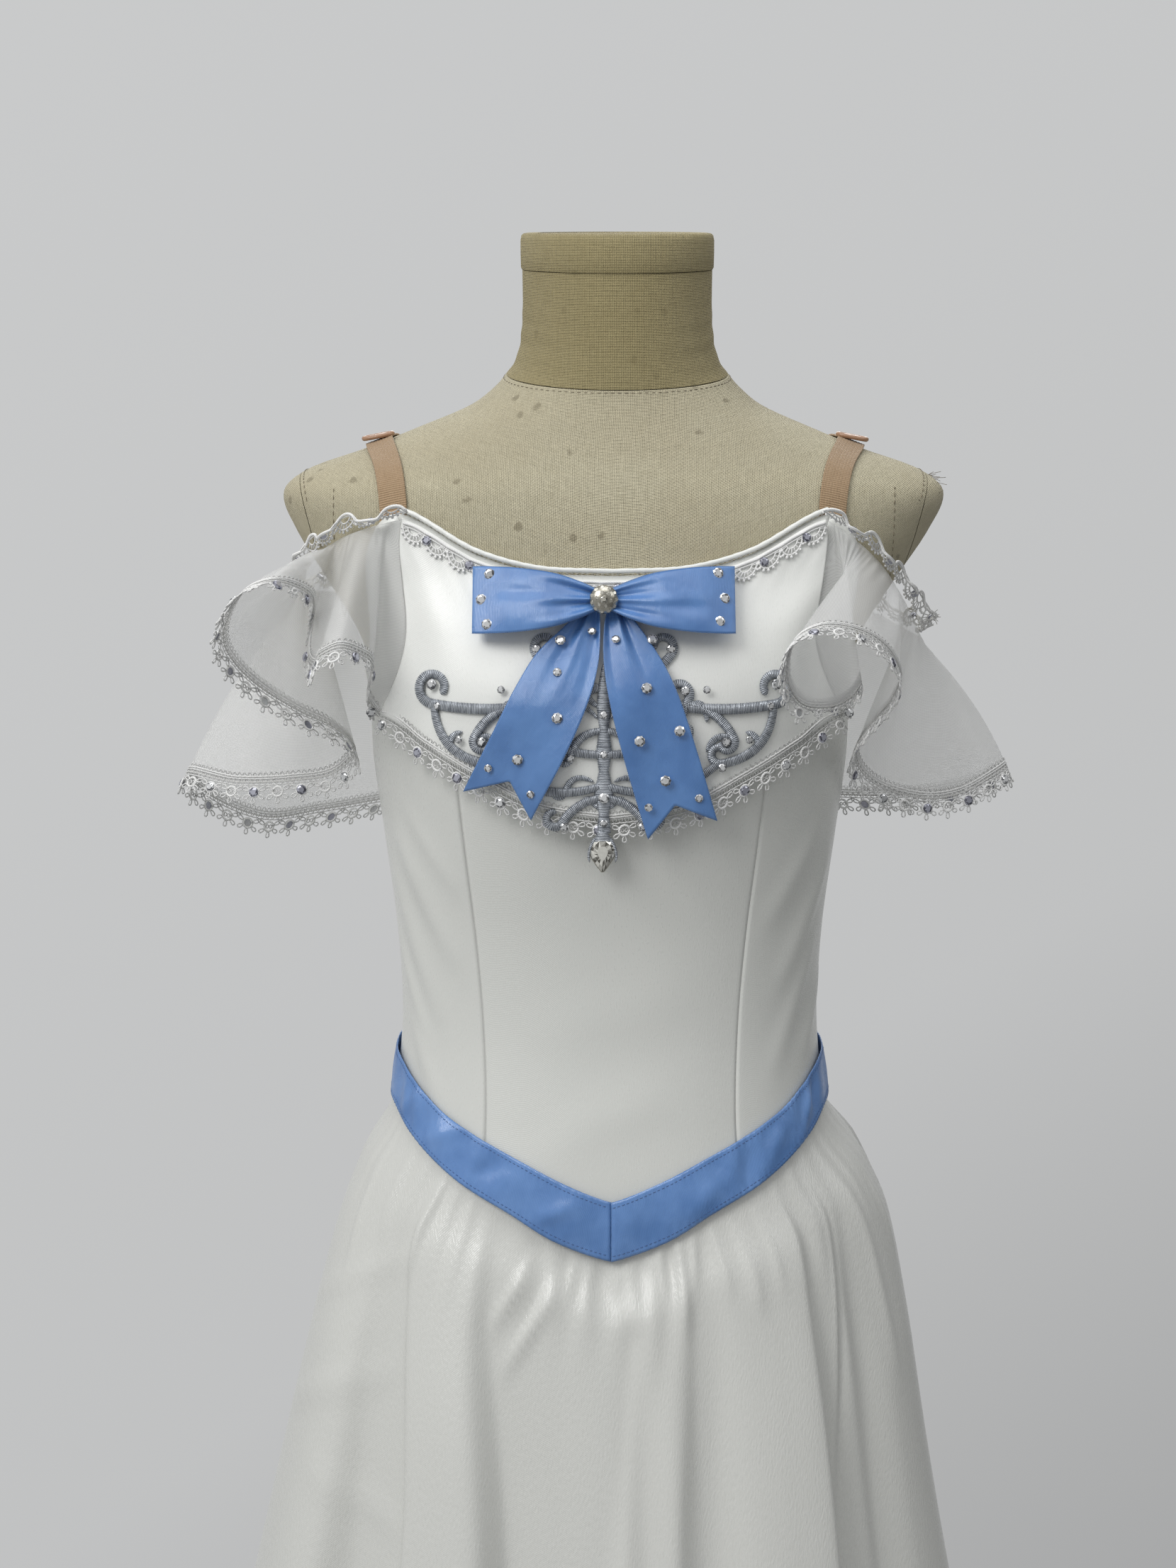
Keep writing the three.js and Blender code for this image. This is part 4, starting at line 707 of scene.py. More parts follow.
def silver_look():
    look = Look("silver_grey_satin_stitch", Metallic=0.45, Specular_IOR_Level=0.8, Sheen_Weight=0.1)
    threads = look.wave(look.uv, 0.85, "X", 1.6)
    slub = look.noise(look.uv, 0.7, 3, (1, 0.25, 1))
    patch = look.noise(look.place, 0.12, 2)
    tone = look.add(look.times(threads, 0.4), look.add(look.times(slub, 0.8), look.times(patch, 0.3)))
    look.color(look.mix(look.range(tone, 0.45, 1.05, 0, 1), (0.08, 0.095, 0.12), (0.70, 0.74, 0.80)))
    look.rough(look.range(slub, 0.3, 0.7, 0.42, 0.3))
    look.bump(look.add(threads, slub), 0.3)
    return look.material


SILVER = silver_look()


# Crystal colour runs from dark to light by each face's stored value and a little noise: painted reflections
# and glints of the facets, over the stone's own tint
def crystal_look(name, low, high, metal, rough):
    look = Look(name, Metallic=metal, Specular_IOR_Level=0.8, Coat_Weight=0.6, Coat_Roughness=0.03)
    tone = look.node("ShaderNodeAttribute", attribute_name="tone").outputs["Fac"]
    glint_and_polish_noise = look.noise(look.place, 0.9, 1)
    look.color(look.mix(look.add(tone, look.times(look.math("SUBTRACT", glint_and_polish_noise, 0.5), 0.25)), low, high))
    look.rough(look.range(glint_and_polish_noise, 0.3, 0.7, rough, rough + 0.08))
    return look.material


CRYSTAL = crystal_look("clear_foiled_crystal", (0.10, 0.105, 0.115), (0.95, 0.96, 0.97), 0.5, 0.08)
CRYSTAL_GREY = crystal_look("smoky_foiled_crystal", (0.06, 0.06, 0.085), (0.58, 0.59, 0.68), 0.45, 0.1)
CRYSTAL_BROOCH = crystal_look("brooch_crystal", (0.05, 0.045, 0.03), (0.72, 0.70, 0.62), 0.5, 0.1)
CRYSTAL_WARM = crystal_look("clear_drop_crystal", (0.07, 0.065, 0.05), (0.98, 0.97, 0.90), 0.35, 0.05)


def setting_look():
    look = Look("silver_setting_metal", Metallic=1.0)
    worn = look.noise(look.place, 0.8, 3)
    look.color(look.mix(worn, (0.34, 0.32, 0.26), (0.60, 0.58, 0.52)))
    look.rough(look.range(worn, 0.3, 0.7, 0.35, 0.2))
    look.bump(worn, 0.05)
    return look.material


SETTING = setting_look()


def elastic_look():
    look = Look("tan_ribbed_elastic", Sheen_Weight=0.2)
    ribs = look.wave(look.uv, 1.25, "Y", 0.2)
    knit = look.wave(look.uv, 0.8, "X", 0.6)
    fuzz = look.noise(look.place, 0.3, 3)
    look.color(look.mix(look.times(look.add(ribs, look.add(knit, fuzz)), 0.36),
                        (0.30, 0.19, 0.10), (0.48, 0.335, 0.20)))
    look.rough(look.range(fuzz, 0.3, 0.7, 0.75, 0.6))
    look.bump(look.add(ribs, look.times(knit, 0.5)), 0.25)
    return look.material


ELASTIC_LOOK = elastic_look()


def plastic_look():
    look = Look("tan_moulded_plastic", Specular_IOR_Level=0.5, Coat_Weight=0.2, Coat_Roughness=0.2)
    cloud = look.noise(look.place, 0.25, 3)
    look.color(look.mix(cloud, (0.33, 0.185, 0.11), (0.45, 0.27, 0.17)))
    look.rough(look.range(cloud, 0.3, 0.7, 0.38, 0.28))
    look.bump(look.noise(look.place, 1.5, 2), 0.04)
    return look.material


PLASTIC = plastic_look()


def linen_look(name, light, dark, stain, amount):
    look = Look(name, Specular_IOR_Level=0.2, Sheen_Weight=0.15)
    warp = look.wave(look.uv, 0.95, "X", 0.8)
    weft = look.wave(look.uv, 0.85, "Y", 0.8)
    slub = look.add(look.noise(look.uv, 0.9, 2, (0.12, 1, 1)), look.noise(look.uv, 0.9, 2, (1, 0.12, 1)))
    broad = look.noise(look.place, 0.012, 4)
    threads = look.add(look.times(look.add(warp, weft), 0.3), slub)
    plain_linen = look.mix(look.range(threads, 0.9, 1.5, 0, 1), dark, light)
    aged = look.mix(look.range(broad, 0.42, 0.68, 0, 0.45), plain_linen, stain)
    spots = look.node("ShaderNodeTexVoronoi", feature="F1")
    look.put(look.vector("MULTIPLY", look.place, (0.062, 0.062, 0.062)), spots.inputs["Vector"])
    spots.inputs["Scale"].default_value = 1.0
    ragged = look.add(spots.outputs["Distance"], look.times(look.noise(look.place, 0.3, 3), 0.3))
    region = look.range(look.noise(look.place, 0.016, 1), 0.42, 0.5, 0, amount)
    blot = look.times(look.range(ragged, 0.25, 0.32, 1, 0), region)
    look.color(look.mix(blot, aged, tuple(c * 0.62 for c in stain)))
    look.rough(look.range(slub, 0.7, 1.3, 0.9, 0.8))
    look.bump(look.add(look.add(warp, weft), slub), 0.34)
    return look.material


LINEN = linen_look("worn_beige_linen", (0.71, 0.655, 0.475), (0.57, 0.52, 0.365), (0.56, 0.49, 0.33), 0.75)
NECK_LINEN = linen_look("worn_darker_linen", (0.50, 0.43, 0.235), (0.39, 0.33, 0.175), (0.36, 0.295, 0.14),
                        0.3)


def steel_look():
    look = Look("brushed_steel_metal", Metallic=1.0)
    grain = look.noise(look.place, 0.5, 3, (1, 1, 0.04))
    look.color(look.mix(grain, (0.47, 0.47, 0.48), (0.62, 0.62, 0.63)))
    look.rough(look.range(grain, 0.3, 0.7, 0.42, 0.28))
    look.bump(grain, 0.02)
    return look.material


STEEL = steel_look()


# Pieces
def cloth(name, grid, thick, look, nodes, flip=False):
    """A piece of cloth: a thin shell of the grid with its look, hiding the nodes it stands for."""
    piece = Piece()
    shell(piece, grid, thick, flip)
    made = piece.make(name, look, nodes)
    return made


white_seams = Piece()
blue_seams = Piece()
brown_seams = Piece()
stones = Piece()
grey_stones = Piece()
warm_stones = Piece()


def share_grid(rows, columns):
    """Shares from 0 to 1 down the rows and along the columns of a grid."""
    return np.meshgrid(np.linspace(0, 1, rows), np.linspace(0, 1, columns), indexing="ij")


# Dress form
def form_body():
    levels = np.concatenate([np.linspace(1283, 1200, 34), np.linspace(1197, FORM_BOTTOM, 84)])
    z, angle = np.meshgrid(levels, np.linspace(-180, 180, 145), indexing="ij")
    return ring_point(form_ring(z), z, angle)


def cut_solid(name, grid, planes, look, nodes):
    """A closed body from rings, cut by planes (point, way of what is taken off)."""
    piece = Piece()
    rows, columns = grid.shape[:2]
    ends = [np.arange(columns - 1)[None], (rows - 1) * columns + np.arange(columns - 1)[None, ::-1]]
    piece.add(grid, [quads(rows, columns), *ends], lengths_of(grid))
    made = piece.make(name, look, nodes)
    bm = bmesh.new()
    bm.from_mesh(made.data)
    bmesh.ops.remove_doubles(bm, verts=bm.verts, dist=1e-6)
    for point, way in planes:
        every = bm.verts[:] + bm.edges[:] + bm.faces[:]
        cut = bmesh.ops.bisect_plane(bm, geom=every, plane_co=Vector(point) * 0.001, plane_no=Vector(way),
                                     clear_outer=True)
        rim = [e for e in cut["geom_cut"] if isinstance(e, bmesh.types.BMEdge)]
        bmesh.ops.contextual_create(bm, geom=rim)
    bmesh.ops.recalc_face_normals(bm, faces=bm.faces)
    bm.to_mesh(made.data)
    bm.free()
    made.data.update()
    mark_flat(made, 0.6)
    return made


def face_outward(made):
    """Turns every face of a closed mesh outward."""
    bm = bmesh.new()
    bm.from_mesh(made.data)
    bmesh.ops.recalc_face_normals(bm, faces=bm.faces)
    bm.to_mesh(made.data)
    bm.free()


def mark_flat(made, limit):
    """Edges sharper than limit (radians) shade sharp."""
    mesh = made.data
    bm = bmesh.new()
    bm.from_mesh(mesh)
    for e in bm.edges:
        if len(e.link_faces) == 2:
            e.smooth = e.calc_face_angle(0) < limit
    bm.to_mesh(mesh)
    bm.free()


# Planes that cut the arm caps off, each by one point and its lean
LEAN = math.radians(14)
CAPS = {1: (168, 0, CAP_HEIGHT), -1: (-164.5, 0, CAP_HEIGHT)}
body = form_body()
cap_way = {s: (s * math.cos(LEAN), 0, -math.sin(LEAN)) for s in (-1, 1)}
cut_solid("form_torso_linen", body, [(CAPS[1], cap_way[1]), (CAPS[-1], cap_way[-1])], LINEN,
          ["form_torso"])
for s, word in ((1, "right"), (-1, "left")):
    keep = (CAPS[s][0] + s * 0.4, 0, CAP_HEIGHT)
    cut_solid(f"form_arm_cap_{word}_linen", body, [(keep, tuple(-c for c in cap_way[s]))],
              LINEN, [f"form_arm_cap_{word}"])


def shoulder_point(x, turn, out):
    """The point over the shoulder at x, reached at a turn about a line inside the form."""
    x, turn, out = np.broadcast_arrays(*(np.asarray(v, float) for v in (x, turn, out)))
    center = stack(x, 0 * x, 1150)
    way = stack(0 * x, -np.cos(np.radians(turn)), np.sin(np.radians(turn)))
    low, high = np.zeros_like(x), np.full_like(x, 140.0)
    for _ in range(22):
        mid = (low + high) / 2
        inside = form_field(center + way * mid[..., None]) < 0
        low, high = np.where(inside, mid, low), np.where(inside, high, mid)
    p = center + way * low[..., None]
    n = form_normal(p)
    n[..., 0] = 0
    return p + unit(n) * out[..., None]


# Seam stitches round each cap, 2.2 mm inside the torso's cut
for s in (-1, 1):
    turn = np.linspace(-62, 236, 150)
    seam = CAPS[s][0] - s * 2.2
    x = np.full_like(turn, seam)
    for _ in range(6):
        p = shoulder_point(x, turn, 0.1)
        x = seam + s * math.tan(LEAN) * (p[:, 2] - CAP_HEIGHT)
    stitches(brown_seams, p, form_normal(p), 4.2, 0.24, 0.55)

# Rings of the neck and its cap: height, half width, depth, tilt
NECK = [
    (1283.6, 60.6, 49.2, 0.3), (1289, 56.6, 49.6, 0.29), (1300, 53.2, 50, 0.27), (1318, 51.8, 50.6, 0.24),
        (1339.6, 51.9, 51.2, 0.215)]
NECK_CAP = [
    (1340, 52.2, 51.6, 0.215), (1341, 52.7, 52.1, 0.215), (1349, 52.9, 52.3, 0.21),
    (1355.5, 52.9, 52.3, 0.205), (1358, 52.4, 51.8, 0.2), (1359.1, 51.3, 50.7, 0.2), (1359.4, 49.5, 49, 0.2)]


def neck_grid(rows, levels=None):
    """Rings of the neck: at the table's heights, or at so many levels with crumpled linen."""
    tab = table("z radius deep slope", rows)
    z = np.linspace(tab["z"][0], tab["z"][-1], levels)[::-1] if levels else tab["z"][::-1]
    z, angle = np.meshgrid(z, np.linspace(-180, 180, 97), indexing="ij")
    a = np.radians(angle)
    y = -column(tab, "z", "deep", z) * np.cos(a)
    crumple = 0.25 * np.sin(z * 0.55 + 1.3 * np.sin(a * 2)) * np.exp(-((z - 1303) / 14) ** 2) if levels else 0
    x = (column(tab, "z", "radius", z) + crumple) * np.sin(a) + 4
    return stack(x, y, z + column(tab, "z", "slope", z) * y)


cut_solid("form_neck_linen", neck_grid(NECK, 40), [], NECK_LINEN, ["form_neck"])
cut_solid("form_neck_cap_linen", neck_grid(NECK_CAP), [], NECK_LINEN, ["form_neck_cap"])
level = np.full(200, 1281.5)
ring = ring_point(form_ring(level), level, np.linspace(-180, 180, 200))
stitches(brown_seams, ring, form_normal(ring), 3.6, 0.2, 0.55)
brown_seams.make("form_seam_stitches", TAN_THREAD)

# Frayed ends of linen threads at the right arm cap
fray = Piece()
for k in range(26):
    turn = rng.uniform(40, 100)
    root = shoulder_point(np.array(176.0 + rng.uniform(-1.5, 2)), np.array(turn), 0.0)
    way = unit(np.array([1.0, rng.uniform(-0.6, 0.4), rng.uniform(-0.5, 0.7)]))
    bend = rng.normal(0, 1, 3)
    t = np.linspace(0, 1, 8)[:, None]
    size = rng.uniform(2.5, 7)
    tube(fray, root + way * t * size + bend * (t ** 2) * size * 0.25, 0.16, 4)
fray.make("form_frayed_threads", TAN_THREAD)


# Stand
def lathe(name, profile, steps, node, shift=0.0):
    """A turned steel part from its profile of radius and height."""
    r, h = np.array(profile[::-1], float).T[..., None]
    turn = np.linspace(0, 2 * np.pi, steps + 1)
    grid = stack(r * np.sin(turn), -r * np.cos(turn), h + shift)
    cut_solid(name, grid, [], STEEL, [node])


lathe("stand_base_plate",
      [(150, 0), (158.5, 0), (160, 1.2), (160, 4), (159, 5.4), (155, 7.6), (60, 12.2), (28, 13.8), (20, 14)],
      96, "stand_base")
lathe("stand_pole_tube", [(13, 14.3), (14, 15.3), (14, 400), (14, 692.6), (13, 693.4)], 48, "stand_pole")
lathe("stand_flange_plate", [(30, 0), (45, 0), (46, 0.8), (46, 5.2), (45, 6), (30, 6)], 64, "stand_flange",
      FORM_BOTTOM - 6.3)

# Bodice panels: name, first and last angle, columns of the mesh, flat size in m, flat area in m2
BODICE = [
    ("bodice_front_center", -34, 34, 70, (0.205, 0.35), 0.0600),
    ("bodice_front_side_right", 34, 90, 44, (0.13, 0.32), 0.0280),
    ("bodice_front_side_left", -90, -34, 44, (0.13, 0.32), 0.0280),
    ("bodice_back_side_right", 90, 144, 40, (0.12, 0.25), 0.0245),
    ("bodice_back_side_left", -144, -90, 40, (0.12, 0.25), 0.0245),
    ("bodice_back_right", 144, 180, 30, (0.09, 0.26), 0.0190),
    ("bodice_back_left", -180, -144, 30, (0.09, 0.26), 0.0190)]
# Creases of the bodice: ends (angle, height), width and height of the ridge, mm
BODICE_CREASES = [
    (-66, 1040, -40, 962, 7, 1.6), (-74, 1020, -48, 930, 8, 1.5), (-80, 985, -52, 915, 6, 1.2),
    (-58, 1052, -36, 1000, 5, 0.9), (-70, 940, -46, 890, 6, 1.0), (62, 1046, 40, 985, 7, 1.2),
    (74, 1030, 47, 950, 8, 1.6), (70, 985, 44, 905, 7, 1.1), (84, 960, 60, 912, 6, 1.0),
    (12, 905, -16, 866, 12, 0.7), (20, 960, -20, 925, 16, 0.6), (150, 1010, 120, 950, 8, 1.4),
    (-150, 1000, -118, 945, 8, 1.4), (168, 975, 140, 925, 7, 1.2), (-166, 985, -138, 930, 7, 1.2),
    (112, 1000, 92, 940, 7, 1.3), (-114, 1005, -92, 935, 7, 1.3)]


def creases(angle, z, rows, degree=1.75):
    """Ridges along short lines on the cloth, with so many mm to a degree."""
    out = 0.0 * angle
    for a0, z0, a1, z1, width, high in rows:
        dx, dz = (a1 - a0) * degree, z1 - z0
        px, pz = (angle - a0) * degree, z - z0
        t = np.clip((px * dx + pz * dz) / (dx * dx + dz * dz), 0, 1)
        d = np.hypot(px - t * dx, pz - t * dz)
        out = out + high * np.exp(-(d / width) ** 2) * np.sin(np.pi * np.clip(t, 0.02, 0.98)) ** 0.7
    return out


for name, a0, a1, columns, flat, area in BODICE:
    drop, share = share_grid(78, columns)
    left, right = seam_line(a0, drop) + 0.01, seam_line(a1, drop) - 0.01
    angle = lerp(left, right, share)
    z = lerp(edge("neck", angle), waist_seam(angle) + 0.3, drop)
    edge_mm = np.minimum(angle - left, right - angle) * 1.9
    seam_dip = 0.3 * np.exp(-edge_mm ** 2)
    crease = creases(angle, z, BODICE_CREASES) * smooth(edge_mm, 0, 10) * 1.3
    grid = on_form(angle, z, np.minimum(BODICE_OUT + 0.75 - seam_dip + crease, 5.2))
    cloth(name + "_satin", grid, 0.45, SATIN, [name])

# Belt ribbon, sewn along both edges and mitred at the front. Creases as on the bodice
BELT_CREASES = [
    (52, 868, 61, 898, 4, 1.0), (58, 874, 67, 904, 4, -0.6), (36, 857, 47, 886, 5, 0.9),
    (27, 850, 35, 873, 5, -0.5), (13, 834, 25, 862, 5, 0.8), (-52, 868, -36, 884, 6, 0.9),
    (-32, 856, -20, 868, 5, -0.6), (-64, 880, -56, 898, 5, 0.8), (-15, 834, -5, 848, 4, 0.7),
    (130, 898, 142, 916, 5, 0.7), (-150, 898, -140, 914, 5, 0.7), (170, 900, 178, 914, 5, 0.6)]
BELT = [
    ("belt_front_right", 0.004, 89.9, 190, (0.165, 0.028)),
    ("belt_front_left", -89.9, -0.004, 190, (0.165, 0.028)),
    ("belt_back", 90.1, 269.9, 260, (0.34, 0.028))]
for name, a0, a1, columns, flat in BELT:
    drop, share = share_grid(22, columns)
    angle = lerp(a0, a1, share)
    mitre = 0.5 * np.exp(-(angle / 2.2) ** 2) * (1 if name == "belt_front_right" else -0.2)
    z = lerp(edge("beltTop", angle), edge("beltFoot", angle), drop)
    ripple = 0.6 * np.sin(angle * 0.55 + 1.1 * np.sin(angle * 0.21)) * np.sin(np.pi * drop) ** 0.7
    at_edges = smooth(drop, 0.3, 0.05) + smooth(drop, 0.7, 0.95)
    pucker = 0.16 * np.sin(angle * 4.1 + 5 * np.sin(angle * 0.3)) * at_edges
    crease = creases(angle, z, BELT_CREASES) * 1.9 * np.sin(np.pi * drop) ** 0.5
    out = BELT_OUT + 0.75 + 0.45 * np.sin(np.pi * drop) + ripple + pucker + mitre + crease
    grid = on_form(angle, z, out)
    cloth(name + "_ribbon", grid, 0.4, BELT_BLUE_LIT, [name])
    n = -normals_of(grid)
    for row in (2, 19):
        stitches(blue_seams, grid[row], n[row], 2.5, 0.17, 0.6)

# Gathered skirt, with broad swells between its folds: angle at the belt, mm
SWELLS = table("angle out", [
    (-100, 0), (-88, 0), (-70, 4), (-56, 6), (-46, 0), (-40, 1), (-31, 5), (-27, 3.5), (-24, -3), (-12, -1.5),
    (-1, 2.5), (4, -1.5), (9, 3.5), (14, 0), (19, -2.5), (28, 2), (35, 4), (40, -1), (44, 1.5), (48, 3),
    (52, -2), (60, 3), (70, 4.5), (84, 0), (100, 0)])


def swell_out(angle, fall):
    """The swells, drawn aside as they fall."""
    drawn = angle - 8.5 * np.exp(-((angle + 22) / 16) ** 2) * smooth(fall, 0, 190)
    return column(SWELLS, "angle", "out", drawn) * smooth(fall, 15, 130)


SKIRT_CREASES = [
    (-13.8, 818, -22, 780, 3, 2.8), (-11, 812, -18, 774, 2.4, -1.4), (-8.5, 808, -19.4, 757, 3.2, 2.6),
    (-25.2, 824, -23.5, 780, 4, 2.0), (-5.2, 818, -8, 796, 2.2, 1.8), (-2.5, 816, -4.2, 792, 2, 1.6),
    (0.2, 815, 0.3, 797, 2, 1.5), (2.8, 817, 3.4, 780, 3.5, 2.4), (7.8, 825, 8.6, 798, 2.2, 1.8),
    (11.5, 829, 11.5, 782, 2.8, 2.3), (15.2, 831, 13.9, 804, 2.2, 1.8), (19, 835, 20, 796, 3, 1.9),
    (24, 839, 25.5, 792, 3.4, 2.1), (30, 843, 30.4, 802, 3, 1.6), (48, 846, 39, 650, 2, 1.3),
    (49.6, 846, 40.6, 650, 2.2, -1.6), (-39.5, 856, -41.8, 800, 3, 1.8), (-80, 776, -38, 817, 5, 1.2),
    (-80, 720, -40, 756, 6, 1.5), (-60, 700, -34, 672, 6, 1.3), (-66, 868, -62, 800, 4, 1.6),
    (-55, 862, -52, 812, 3.5, 1.2), (58, 850, 62, 740, 5, 1.6), (70, 868, 73, 800, 4, 1.3)]
BACK_CREASES = [
    (178, 884, 176, 840, 2.6, 1.8), (171, 886, 168, 848, 2.2, 1.5), (-172, 886, -169, 842, 2.6, 1.7),
    (160, 886, 155, 836, 3.2, 2.0), (-160, 886, -163, 850, 2.4, 1.6), (150, 884, 149, 850, 2.6, 1.4),
    (-149, 884, -143, 838, 3, 1.9), (138, 884, 133, 832, 3.4, 1.8), (-134, 884, -130, 846, 2.8, 1.5),
    (120, 882, 118, 820, 4, 1.7), (-118, 882, -114, 826, 4, 1.6), (150, 760, 118, 700, 7, 1.3),
    (-160, 740, -125, 690, 7, 1.4)]
SKIRT_HALVES = [("skirt_front", -89.9, 89.9, (0.80, 0.54), 0.30),
                ("skirt_back", 90.1, 269.9, (0.88, 0.56), 0.345)]
for name, a0, a1, flat, area in SKIRT_HALVES:
    drop, share = share_grid(76, 300)
    angle = turned(lerp(a0, a1, share))
    top = waist_seam(angle) - 0.3
    z = lerp(top, HEM_HEIGHT, drop ** 1.3)
    fine = creases(angle, z, SKIRT_CREASES, 2.6) if a0 < 0 else creases(angle, z, BACK_CREASES, 2.6)
    if a0 < 0:
        fine = fine + swell_out(angle, np.maximum(edge("beltFoot", angle) - z, 0))
    grid = skirt_point(angle, z, fine)
    cloth(name + "_satin", grid, 0.5, SKIRT_SATIN_SHADED, [name])
    n = -normals_of(grid)
    row = int(np.argmin(np.abs(z[:, 0] - HEM_HEIGHT - 12)))
    stitches(white_seams, grid[row], n[row], 3.0, 0.16, 0.6)

# Bertha flounce
for back, word in HALVES:
    v, u = share_grid(42, 190)
    angle = turned(bertha_angle(u, v, back))
    away = np.minimum(u, 1 - u)
    folds = 1.6 * np.sin(np.radians(angle * 21) + 2 * v) * np.exp(-(away / 0.16) ** 2) * smooth(v, 0.02, 0.3)
    gather = 0.35 * np.sin(np.radians(angle * 95)) * np.exp(-(v / 0.16) ** 2)
    gather = gather * smooth(v, 0, 0.05) * smooth(np.abs(angle), 8, 24)
    grid = bertha_point(angle, v, CLOTH + folds * 0.5 + gather)
    flat, area = ((0.31, 0.12), 0.028) if back else ((0.33, 0.13), 0.03)
    cloth(f"bertha_{word}_satin", grid, 0.45, FLOUNCE_SATIN_LIT, [f"bertha_{word}"])

# Rolled edge along the neckline
for back, word in HALVES:
    angle = turned(bertha_angle(np.linspace(0, 1, 220), 0, back))
    line = on_form(angle, edge("neck", angle) + 2.3, BODICE_OUT + 1.35)
    piece = Piece()
    n = form_normal(line)
    tubes(piece, line[None], n[None], 1.35 + 0.08 * np.sin(np.arange(220) * 0.9)[None], 10)
    piece.make(f"neckline_binding_{word}_satin", FLOUNCE_SATIN_LIT, [f"neckline_binding_{word}"])
    low = on_form(angle, edge("neck", angle) + 0.4, BODICE_OUT + 2.0)
    stitches(white_seams, low, n, 2.6, 0.15, 0.6)

# Open sleeves of organza
for side, word in SIDES:
    u = np.linspace(0, 1, 260)
    v = np.linspace(0, 1, 50)
    grid = sleeve_grid(side, u, v)
    n = normals_of(grid) * (-1 if side > 0 else 1)
    ripple = 0.5 * np.sin(u * 170 + 4 * np.sin(u * 21)) * (0.6 + 0.4 * np.sin(u * 37))
    near = np.exp(-(v / 0.3) ** 2) * smooth(v, 0, 0.04)
    ends = smooth(u, 0.01, 0.06) * smooth(u, 0.99, 0.94)
    hang = 1.3 * np.sin(u * 78 + 2.5 * np.sin(u * 13)) * (0.6 + 0.4 * np.sin(u * 31))
    lower = smooth(v, 0.02, 0.35) * (1 - 0.75 * smooth(v, 0.6, 1))
    grid = grid + n * (near[:, None] * (ripple * ends)[None])[..., None]
    grid = grid + n * (lower[:, None] * (hang * ends)[None])[..., None]
    cloth(f"sleeve_{word}_organza", grid, 0.22, ORGANZA, [f"sleeve_{word}"],
          flip=side < 0)
    hem = grid[-1]
    tubes(white_seams, (hem + n[-1] * 0.1)[None], n[-1][None], 0.45, 5)


# Stones: flat back, faceted crown, and painted reflections: a darker girdle, crown facets dark or bright at
# random, a bright table
def stone(piece, center, normal, radius, spin=0.0, sides=8):
    n = unit(np.asarray(normal, float))
    a = unit(np.cross(n, [0.21, 0.13, 0.97]))
    b = np.cross(n, a)
    rings = []
    for k, (r, h) in enumerate(((1.0, 0.0), (1.0, 0.12), (0.82, 0.3), (0.52, 0.42))):
        t = (np.arange(sides) + (0.5 if k == 2 else 0.0)) / sides * 2 * np.pi + spin
        rings.append(center + radius * (r * (np.cos(t)[:, None] * a + np.sin(t)[:, None] * b) + h * n))
    points = np.concatenate(rings)
    j = np.arange(sides)
    k = (j + 1) % sides
    side = np.stack([j, k, k + sides, j + sides], -1)
    m, top = 2 * sides, 3 * sides
    tri = np.concatenate([np.stack([j + sides, k + sides, j + m], -1),
                          np.stack([k + sides, k + m, j + m], -1), np.stack([j + m, k + top, j + top], -1),
                          np.stack([j + m, k + m, k + top], -1)])
    table_face = (j + top)[None]
    back = j[None, ::-1]
    tones = [np.full(sides, 0.3), rng.choice([0.0, 0.1, 0.35, 0.7, 1.0], len(tri)),
             np.array([rng.uniform(0.55, 1.0)]), np.array([0.6])]
    piece.add(points, [side, tri, table_face, back], None, tones)


# Lace, drawn along a strip: s along an edge, t away from it, lift off the cloth
class Strip:
    """An edge of cloth with the way its lace goes and the cloth's normal."""

    def __init__(self, line, way, normal):
        self.run = run_of(line)
        self.length = self.run[-1]
        self.line, self.way, self.normal = line, way, normal

    def at(self, s, t, lift=0.0):
        s, t, lift = np.broadcast_arrays(*(np.asarray(v, float) for v in (s, t, lift)))
        line, way, normal = (read_at(field, self.run, s) for field in (self.line, self.way, self.normal))
        n = unit(normal)
        return line + unit(way) * t[..., None] + n * lift[..., None], n

    def threads(self, piece, s, t, radius, sides=4, closed=False, lift=0.0):
        p, n = self.at(s, t, lift)
        if p.ndim == 2:
            p, n = p[None], n[None]
        tubes(piece, p, n, radius, sides, closed)


